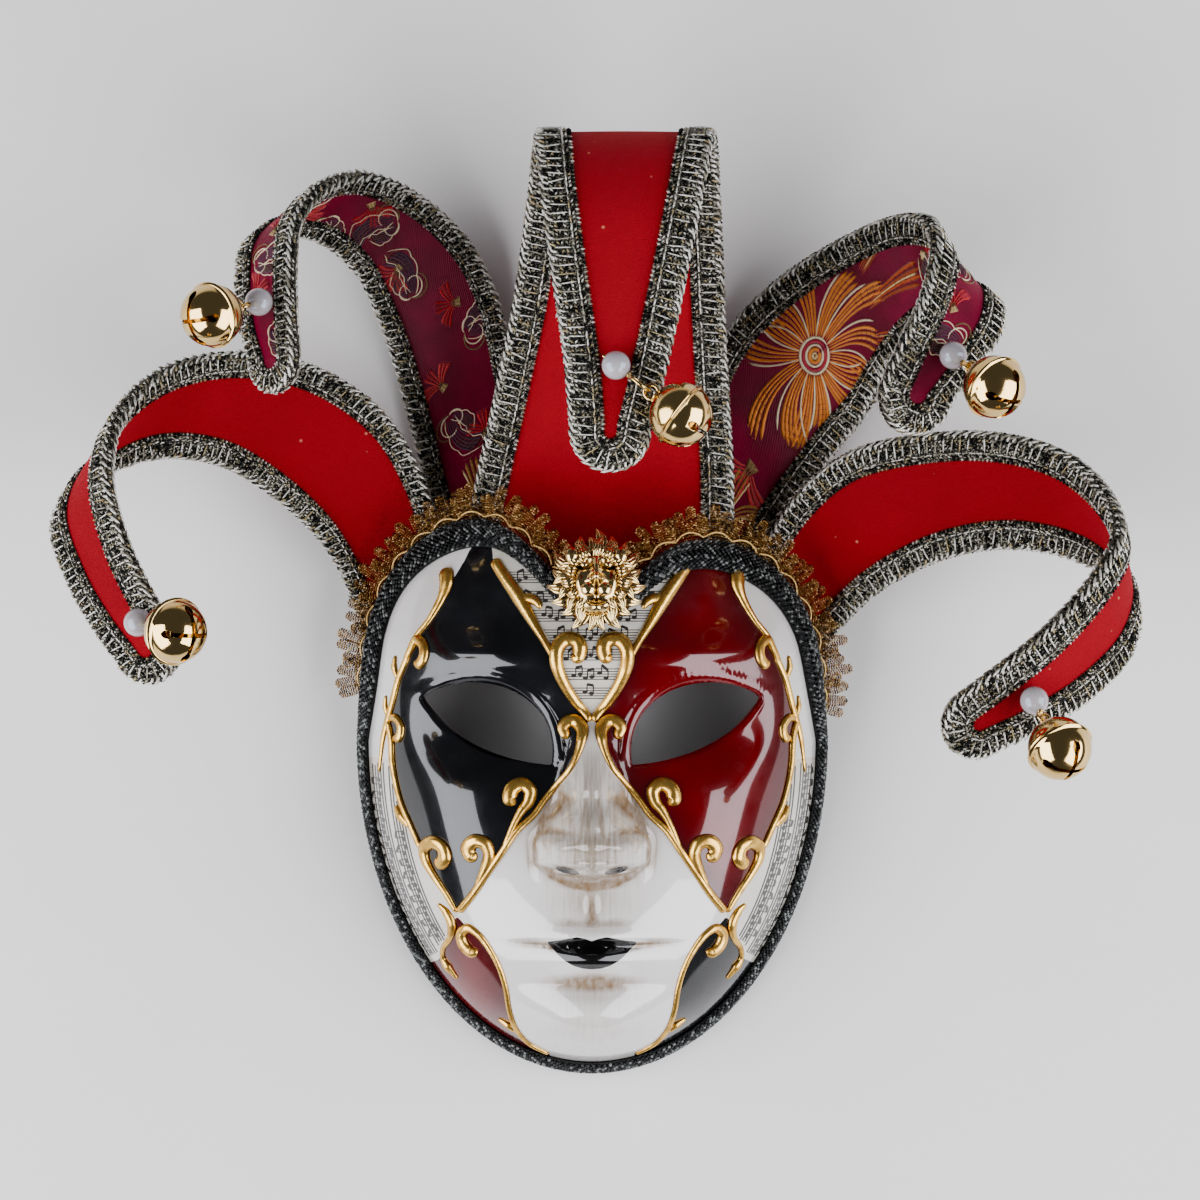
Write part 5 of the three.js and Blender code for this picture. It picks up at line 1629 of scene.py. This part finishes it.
class Loom:
    """Lays woven shapes on one side of a horn's cloth."""

    def __init__(self, horn, side):
        self.horn = horn
        self.side = side
        self.sculpt = Sculpt()

    def strand(self, runs, offsets, half_width, half_height, tint, sink=0.0):
        """A flat raised strand along a path on the cloth, kept between the braids."""
        runs = np.asarray(runs, float)
        clear = self.horn.clear_half(runs)
        offsets = np.clip(offsets, -clear, clear)
        path, normals = self.horn.on_cloth(runs, offsets, self.side, -sink)
        share = np.linspace(0, 1, len(runs))
        ends = np.sqrt(np.clip(np.minimum(share, 1 - share) / STRAND_ENDS, 0.05, 1))
        self.sculpt.add_tube(path, normals, half_width * ends, half_height * ends, STRAND_SIDES, tint)

    def bundle(self, centre, bearing, start, end, half, tint, bend, strands=4, hatch=RUST):
        """A petal of strands side by side that spread to a blunt, hatched end."""
        share = np.linspace(0, 1, PETAL_STEPS)
        turn = np.radians(bearing + bend * share**2)
        width = half * np.interp(share, PETAL_PLACES, PETAL_WIDTHS)
        for i, place in enumerate(np.linspace(-1, 1, strands) * (1 - 1 / strands)):
            radius = mix(start, end * (1 - PETAL_ROUNDING * place**2), share)
            shade = np.array(tint) * (1 - PETAL_SHADE * (i % 2))
            spots = turned(centre, radius, turn, place * width)
            self.strand(*spots, PETAL_FILL * width / strands, PETAL_HEIGHT, shade, PETAL_SINK)
        radius = mix(start, end, share)
        for at in range(PETAL_STEPS // 2, PETAL_STEPS):
            self.strand(*turned(centre, radius[at], turn[at], HATCH_SPAN * width[at]), *HATCH, hatch)

    def ray(self, centre, bearing, start, end, bend, tint):
        """A line that runs out from a centre and thickens to its end."""
        share = np.linspace(0, 1, PETAL_STEPS)
        turn = np.radians(bearing + bend * share**2)
        spots = turned(centre, mix(start, end, share), turn)
        self.strand(*spots, mix(*RAY_WIDTHS, share), RAY_HEIGHT, tint)

    def ring(self, centre, radius, half, tint):
        turns = np.linspace(0, 2 * math.pi, RING_STEPS)
        self.strand(*turned(centre, radius, turns), half, RING_HEIGHT, tint)

    def chrysanthemum(self, centre, reach_along, reach_across):
        """A great flower of spreading petals with cream rays between them, round a ringed eye."""
        step = 360 / GREAT_PETALS
        for i in range(GREAT_PETALS):
            bearing = step * (i + 0.5)
            turn = math.radians(bearing)
            reach = 1 / math.hypot(math.cos(turn) / reach_along, math.sin(turn) / reach_across)
            bend = GREAT_BEND if i % 4 < 2 else -GREAT_BEND
            end = reach * (1 if i % 2 else GREAT_SHORTER)
            self.bundle(centre, bearing, GREAT_FROM, end, GREAT_HALF, ORANGE, bend)
            self.ray(centre, bearing - step / 2, GREAT_RAY_FROM, GREAT_RAY_REACH * reach, bend, CREAM)
        for radius, half, tint in EYE_RINGS:
            self.ring(centre, radius, half, tint)

    def tulip(self, centre, reach, tint, bearing):
        """A small flower of three strand petals on a dark foot."""
        for fan in TULIP_FAN:
            self.bundle(centre, bearing + fan, *(reach * TULIP_PETAL), tint, 0.3 * fan, 3, ROSE)
        self.bundle(centre, bearing + 180, *(reach * TULIP_FOOT), OLIVE, 0, 3, WOVEN_GOLD)

    def leaf(self, centre, bearing, reach, bend):
        """A dull purple leaf of strands with a cream outline in lobes."""
        half = LEAF_HALF * reach
        self.bundle(centre, bearing, LEAF_FROM, reach, half, PLUM, bend, 5, OLIVE)
        share = np.linspace(0, 1, LEAF_STEPS)
        turn = np.radians(bearing + bend * share**2)
        lobes = 1 + LEAF_LOBES * np.abs(np.sin(3 * math.pi * share))
        width = half * lobes * np.interp(share, PETAL_PLACES, LEAF_WIDTHS)
        radius = mix(1.0, 1.08 * reach, share)
        for edge in (-1, 1):
            self.strand(*turned(centre, radius, turn, edge * width), *OUTLINE, CREAM)

    def spray(self, centre, bearing):
        """A loose spray of leaves and curls."""
        for turn, radius, tint in SPRAY_CURLS:
            plan = curl_plan(np.array(centre), bearing + 0.3 * turn, radius, turn)
            self.strand(*plan.T, *CURL, tint)
        for lean, reach, bend in SPRAY_LEAVES:
            self.leaf(centre, bearing + lean, reach, bend)

    def scatter(self, first):
        """Tulips and sprays by turns up to the tip, on alternate sides of the cloth's middle."""
        for i, run in enumerate(np.arange(first, self.horn.arc[-1] - SCATTER_END, SCATTER_STEP)):
            shift = SCATTER_SHIFT * float(self.horn.clear_half(run)) * (1 if i % 2 else -1)
            self.spray((run + 11, -shift), 70.0 * i + 20)
            self.tulip((run - 2, shift), TULIP_REACH, FLOWER_TINTS[i % 2], 35.0 * i)

    def fronds(self, run):
        """Golden brown fronds that rise from the horn's root."""
        for bearing, reach in FRONDS:
            self.bundle((run, 0), bearing, 2, reach, 3, BRONZE, 0.7 * bearing, 3)
            self.ray((run, 0), bearing + 10, 2, 0.9 * reach, 0.7 * bearing, WOVEN_GOLD)

    def great_flower(self):
        """A tulip at the root, and one great flower over three petals that run on from behind it."""
        self.tulip((38, 3), 13, CORAL, 195)
        self.fronds(FRONDS_RUN)
        for bearing, shift in BACK_PETALS:
            self.bundle((116, shift), bearing, 4, 34, 5, DEEP_ORANGE, 0.6 * bearing)
            self.ray((118, shift), bearing, 4, 30, 0.6 * bearing, WOVEN_GOLD)
        self.chrysanthemum(GREAT_PLACE, *GREAT_REACHES)
        self.scatter(BEYOND_GREAT)

    def finish(self, name):
        return self.sculpt.piece(name, [SILK_THREAD], "brocade")


def brocade_flowers(horn):
    """Woven flowers on both sides; the right horn has one great chrysanthemum in front."""
    pieces = []
    for side, word in ((1, "a"), (-1, "b")):
        loom = Loom(horn, side)
        if horn.name == "top_right" and side < 0:
            loom.great_flower()
        else:
            loom.fronds(FRONDS_RUN)
            loom.scatter(SCATTER_FROM)
        pieces.append(loom.finish(f"flowers_{horn.name}_{word}"))
    return pieces


def horns():
    for name in HORNS:
        horn = Horn(name)
        plain = name in VELVET_HORNS
        cloth = horn_cloth(horn, VELVET if plain else BROCADE, "velvet" if plain else "brocade")
        flowers = [] if plain else brocade_flowers(horn)
        braid = horn_braid(horn)
        hang_bell(horn)


# Pearls, wires and bells

def axes_along(direction):
    """Three unit rows, the last one along direction."""
    z = unit(np.asarray(direction, float))
    x = unit(np.cross([0.0, 1.0, 0.0] if abs(z[1]) < 0.9 else [1.0, 0.0, 0.0], z))
    return np.stack([x, np.cross(z, x), z])


def lathe(profile, count):
    """Points and faces of a closed ring-shaped solid turned about Z from a closed (radius, z) profile."""
    turns = full_turn(count)[:, None]
    radius, z = np.array(profile).T
    points = np.stack([radius * np.cos(turns), radius * np.sin(turns), z + 0 * turns], axis=-1)
    return points, skin(count, len(profile), looped=True)


def add_wire_ring(sculpt, centre, x_axis, y_axis, radius, wire, count=40):
    turns = full_turn(count)
    path = centre + radius * (np.outer(np.cos(turns), x_axis) + np.outer(np.sin(turns), y_axis))
    normals = np.broadcast_to(np.cross(x_axis, y_axis), path.shape)
    sculpt.add_tube(path, normals, wire, wire, WIRE_SIDES, looped=True)


def pearl_piece(name, middle, axes):
    """A drilled ball."""
    first = math.asin(BORE_RADIUS / PEARL_RADIUS)
    lifts = np.linspace(first, math.pi - first, PEARL_ROWS)
    profile = [(PEARL_RADIUS * math.sin(lift), -PEARL_RADIUS * math.cos(lift)) for lift in lifts]
    profile += [(BORE_RADIUS, PEARL_RADIUS * math.cos(first) * share) for share in (0.5, 0, -0.5)]
    points, faces = lathe(profile, PEARL_SIDES)
    sculpt = Sculpt()
    sculpt.add(middle + points @ axes, faces)
    sculpt.piece(f"bead_{name}", [NACRE], "pearl", [f"pearl_{name}"], sharp_degrees=50)


def wire_piece(name, middle, axes, ring_radius):
    """A pin through the pearl that ends in a ring, with two turns of wire wrapped under the ring."""
    x, y, z = axes
    sculpt = Sculpt()
    pin = middle + np.outer(np.linspace(-PEARL_RADIUS - PIN_FOOT, PIN_REACH, 10), z)
    sculpt.add_tube(pin, np.broadcast_to(x, pin.shape), WIRE_RADIUS, WIRE_RADIUS, WIRE_SIDES)
    turns = np.linspace(0, 4 * math.pi, COIL_STEPS)
    radius, wire = COIL
    wrap = radius * (np.outer(np.cos(turns), x) + np.outer(np.sin(turns), y))
    coil = middle + wrap + np.outer(PEARL_RADIUS + np.linspace(*COIL_SPAN, COIL_STEPS), z)
    sculpt.add_tube(coil, np.broadcast_to(z, coil.shape), wire, wire, COIL_SIDES)
    add_wire_ring(sculpt, middle + (PIN_REACH + ring_radius) * z, x, z, ring_radius, WIRE_RADIUS)
    sculpt.piece(f"wire_{name}", [POLISHED_GOLD], "bell_gold", [f"bell_wire_{name}"], sharp_degrees=50)


def slot_distance(x, y):
    """Distance out of the bell's cross of slots in plan: two bars with round ends."""
    out = np.full(x.shape, np.inf)
    for run, off in ((x, y), (y, x)):
        bar = np.maximum(np.abs(run) - SLOT_HALF_LENGTH, np.abs(off) - SLOT_HALF_WIDTH)
        end = np.hypot(np.abs(run) - SLOT_HALF_LENGTH, off) - SLOT_END_RADIUS
        out = np.minimum(out, np.minimum(bar, end))
    return out


def bell_surface(lift, turn):
    """Points of a bell's outside, with the pressed seam round its middle."""
    z = BELL_RADIUS * np.cos(lift)
    rise = SEAM_RISE * np.exp(-((z / SEAM_HALF) ** 8))
    radius = BELL_RADIUS + rise - SEAM_GROOVE * np.exp(-((z / SEAM_GROOVE_HALF) ** 2))
    flat = radius * np.sin(lift)
    return np.stack([flat * np.cos(turn), flat * np.sin(turn), radius * np.cos(lift)], axis=-1)


def bell_piece(name, eyelet, axes):
    """A hollow ball in two halves with a pressed seam, a cross of slots on its far side and an eyelet."""
    lifts = np.linspace(0, math.pi, BELL_ROWS)[1:]
    plain = np.abs(BELL_RADIUS * np.cos(lifts)) > SEAM_CLEAR
    lifts = np.sort(np.concatenate([lifts[plain], np.arccos(np.array(SEAM_ROWS) / BELL_RADIUS)]))
    grid = np.stack(np.meshgrid(lifts, full_turn(BELL_SIDES), indexing="ij"), axis=-1).reshape(-1, 2)
    lift, turn = np.vstack([[[0, 0]], grid]).T
    outside = bell_surface(lift, turn)
    field = np.where(lift < SLOT_ZONE, slot_distance(*outside[:, :2].T), BELL_RADIUS)
    places, triangles = clipped(outside, polar_triangles(len(lifts), BELL_SIDES), field)
    inner = unit(places) * (BELL_RADIUS - BELL_WALL)
    sculpt = Sculpt()
    x, y, z = axes
    centre = eyelet + (EYELET_RADIUS - EYELET_SUNK + BELL_RADIUS) * z
    sculpt.add(centre + np.vstack([places, inner]) @ axes, thickened(len(places), triangles))
    add_wire_ring(sculpt, eyelet, y, z, EYELET_RADIUS, EYELET_WIRE)
    add_wire_ring(sculpt, centre - (BELL_RADIUS - COLLAR_SUNK) * z, x, y, *COLLAR)
    sculpt.piece(f"jingle_{name}", [POLISHED_GOLD], "bell_gold", [f"bell_{name}"], sharp_degrees=45)


def hang_bell(horn):
    along, across, side, seat, offset = BELLS[horn.name]
    point, normal = horn.spot(np.array([along]), across)
    middle = point[0] + side * seat * normal[0]
    reach = np.linalg.norm(offset)
    axes = axes_along(offset)
    eyelet_reach = reach - BELL_RADIUS - EYELET_RADIUS + EYELET_SUNK
    ring_radius = (eyelet_reach - WIRE_RADIUS - PIN_REACH) / 2
    pearl_piece(horn.name, middle, axes)
    wire_piece(horn.name, middle, axes, ring_radius)
    bell_piece(horn.name, middle + eyelet_reach * axes[2], axes)


# The lion's head

LION_PLAN = np.array([1.6, 77.4])
LION_SEAT = 4.2
LION_MANE_HALF = np.array([18.4, 20.2])
LION_FACE_HALF = np.array([8.0, 11.6])
LION_FACE_DROP = -2.8
# colour of the painted shade on the mane's bed, on the underside of its locks and in the hollows of the face
LION_PAINTED_SHADE = np.array([0.2, 0.13, 0.08])
# x, y, reach across, reach along and rise over the lion's round face; off the middle there is a twin
LION_FEATURES = [
    (0, -1.6, 2.7, 1.5, 2.8),  # tip of the nose
    (0, 3.2, 1.6, 4.6, 2.2),  # bridge of the nose
    (0, -6.2, 0.6, 2.2, -1.0),  # split of the lip
    (0, -9.4, 3.0, 0.7, -1.7),  # open mouth
    (0, -12.4, 2.6, 1.6, 2.6),  # chin
    (4.4, 4.0, 2.0, 1.2, -1.5),  # eye socket
    (4.6, 7.2, 3.0, 1.2, 2.6),  # brow
    (7.0, -1.2, 1.8, 4.0, 1.6),  # cheek
]
# middles and half-sizes of the rounded forms set on the lion's face; each has a twin at -x
LION_BALLS = [
    ((2.9, -5.6, 8.6), (2.9, 2.7, 2.4)),  # whisker pad
    ((4.3, 4.1, 7.2), (1.5, 1.1, 1.2)),  # eye
    ((1.7, -1.9, 9.6), (0.9, 0.7, 0.8)),  # wing of the nose
    ((8.9, 8.4, 5.4), (2.4, 3.0, 1.8)),  # ear
]
# count of locks, the share of the mane where they start and end, height, half-width and bend
LION_MANE = [
    (19, 0.42, 1.0, 0.9, 2.7, 16),
    (17, 0.4, 0.86, 2.9, 2.4, -14),
    (15, 0.4, 0.72, 4.7, 2.1, 12),
]
# offset across a lock and height of its strands, as shares of the lock's half-width
LOCK_STRANDS = ((-0.62, 0.0), (0.0, 0.225), (0.62, 0.0))
STRAND_HALVES = (0.42, 0.5)
LOCK_SIDES = 8
LOCK_STEPS = 12
LOCK_ARCH = 1.5
LOCK_DROOP = 1.4
LOCK_SHADE = (-0.3, 0.9)
# half-size, drop, height of the foot and rise of the mane's bed and of the face
LION_BED = (0.8 * LION_MANE_HALF, 0, 0.4, 4.2)
LION_FACE = (LION_FACE_HALF, LION_FACE_DROP, 3.4, 4.8)
DOME_RINGS = 26
DOME_SIDES = 56
# relief at which painted shade darkens a hollow of the lion's face most, and the span over which it turns
# bright
LION_SHADE = (-1.6, 2)


def lion_head():
    """A cast lion's head: three rows of grooved mane locks on a bed, round a modelled face."""
    middle, normal = (values[0] for values in on_face(LION_PLAN[None]))
    middle = middle + LION_SEAT * normal
    tilt = math.asin(-normal[1])
    axes = np.array([
        [1, 0, 0],
        [0, math.cos(tilt), math.sin(tilt)],
        [0, -math.sin(tilt), math.cos(tilt)],
    ])
    sculpt = Sculpt()
    # the mane's bed is tinted all in painted shade
    add_dome(sculpt, middle, axes, *LION_BED, [], LION_PAINTED_SHADE)
    for row, (count, *lock) in enumerate(LION_MANE):
        for i in range(count):
            turn = 2 * math.pi * (i + 0.5 * (row % 2)) / count
            add_mane_lock(sculpt, middle, axes, turn, *lock)
    add_dome(sculpt, middle, axes, *LION_FACE, LION_FEATURES)
    frames = np.broadcast_to(axes, (1, 3, 3))
    for place, halves in LION_BALLS:
        for side in (1, -1):
            spot = middle + (np.array(place) * [side, 1, 1]) @ axes
            add_balls(sculpt, spot[None], frames, np.array([halves]), WHITE, SMALL_BALL)
    sculpt.piece("lion", [CAST_GOLD], "bell_gold", ["lion_head"], sharp_degrees=60)


def add_mane_lock(sculpt, middle, axes, turn, start, end, height, half, bend):
    """A lock of three strands that lie side by side and meet at its tip."""
    share = np.linspace(0, 1, LOCK_STEPS)
    side = 1 if math.sin(turn) >= 0 else -1
    uneven = end * (0.95 + 0.05 * math.cos(7 * turn))
    turns = turn + side * math.radians(bend) * np.sin(math.pi * share) * 0.5
    way = np.stack([np.sin(turns), np.cos(turns)], axis=-1)
    plan = way * mix(start, uneven, share)[:, None] * LION_MANE_HALF
    across = np.stack([way[:, 1], -way[:, 0]], axis=-1)
    lift = height + LOCK_ARCH * np.sin(math.pi * share * 0.8) - LOCK_DROOP * share
    thin = half * np.interp(share, [0, 0.3, 0.75, 1], [0.7, 1, 0.7, 0.1])
    # painted shade darkens the underside of each strand
    tints = foot_shades(LOCK_STEPS, LOCK_SIDES, LION_PAINTED_SHADE, *LOCK_SHADE)
    wide, high = STRAND_HALVES
    for offset, raised in LOCK_STRANDS:
        path = middle + np.c_[plan + across * (offset * thin)[:, None], lift + raised * thin] @ axes
        normals = np.broadcast_to(axes[2], path.shape)
        sculpt.add_tube(path, normals, wide * thin, high * thin, LOCK_SIDES, tints)


def add_dome(sculpt, middle, axes, half, drop, foot, rise, features, tint=None):
    """A low dome on an oval, with features raised on it and painted shade in its hollows."""
    radius = np.linspace(0, 1, DOME_RINGS + 1)[1:, None]
    turns = full_turn(DOME_SIDES)
    grid = np.stack([radius * np.cos(turns), radius * np.sin(turns)], axis=-1).reshape(-1, 2)
    plan = np.vstack([[[0, 0]], grid]) * half
    round_off = np.sqrt(np.maximum(0, 1 - np.sum((plan / half) ** 2, axis=1)))
    x, y = plan[:, 0], plan[:, 1] + drop
    relief = bump_sum(x, y, features) * smooth(4 * round_off)
    front = np.stack([x, y, foot + rise * round_off + relief], axis=-1)
    back = np.stack([x, y, 0 * x], axis=-1)
    if tint is None:
        dark, span = LION_SHADE
        tint = mix(LION_PAINTED_SHADE, np.ones(3), smooth((relief - dark) / span)[:, None])
        tint = np.vstack([tint, tint])
    faces = thickened(len(plan), polar_triangles(DOME_RINGS, DOME_SIDES))
    sculpt.add(middle + np.vstack([front, back]) @ axes, faces, tint)


# Floor, light and camera

FLOOR_HALF = 4.0
# softboxes stand at x and -x and face the aim, in metres
SOFTBOX_PLACE = (1.0, -0.26, 0.78)
SOFTBOX_SIZE = (1.7, 1.1)
SOFTBOX_POWER = 28
LIGHT_AIM = Vector((0, 0.05, 0.05))
LIGHT_TINT = (0.94, 0.95, 1.0)
ROOM_TINT = (0.9, 0.93, 1, 1)
ROOM_STRENGTH = 0.1


def floor():
    mesh = bpy.data.meshes.new("floor")
    corners = [(x * FLOOR_HALF, y * FLOOR_HALF, 0) for x, y in ((-1, -1), (1, -1), (1, 1), (-1, 1))]
    mesh.from_pydata(corners, [], [(0, 1, 2, 3)])
    mesh.materials.append(studio_floor())
    made = linked("floor", mesh)


def softbox(name, side):
    light = bpy.data.lights.new(name, "AREA")
    light.shape = "RECTANGLE"
    light.size, light.size_y = SOFTBOX_SIZE
    light.energy = SOFTBOX_POWER
    light.color = LIGHT_TINT
    made = linked(name, light)
    x, y, z = SOFTBOX_PLACE
    made.location = (side * x, y, z)
    made.rotation_euler = (LIGHT_AIM - made.location).to_track_quat("-Z", "Y").to_euler()


def studio():
    softbox("softbox_left", -1)
    softbox("softbox_right", 1)
    world = bpy.data.worlds.new("studio")
    world.use_nodes = True
    room = world.node_tree.nodes["Background"].inputs
    room["Color"].default_value = ROOM_TINT
    room["Strength"].default_value = ROOM_STRENGTH
    bpy.context.scene.world = world
    bpy.context.scene.view_settings.look = "AgX - Medium High Contrast"


def camera():
    lens = bpy.data.cameras.new("camera")
    lens.sensor_width = SENSOR
    lens.lens = FOCAL_PIXELS * SENSOR / IMAGE_PIXELS
    made = linked("camera", lens)
    made.location = (CAMERA_X * MM, CAMERA_Y * MM, CAMERA_HEIGHT * MM)
    bpy.context.scene.camera = made


camera()
floor()
studio()
face_shell()
music_print()
for design_name in SCROLLS:
    for face_side in (1, -1):
        gilt_scroll(design_name, face_side)
face_braid()
gold_lace()
horns()
lion_head()
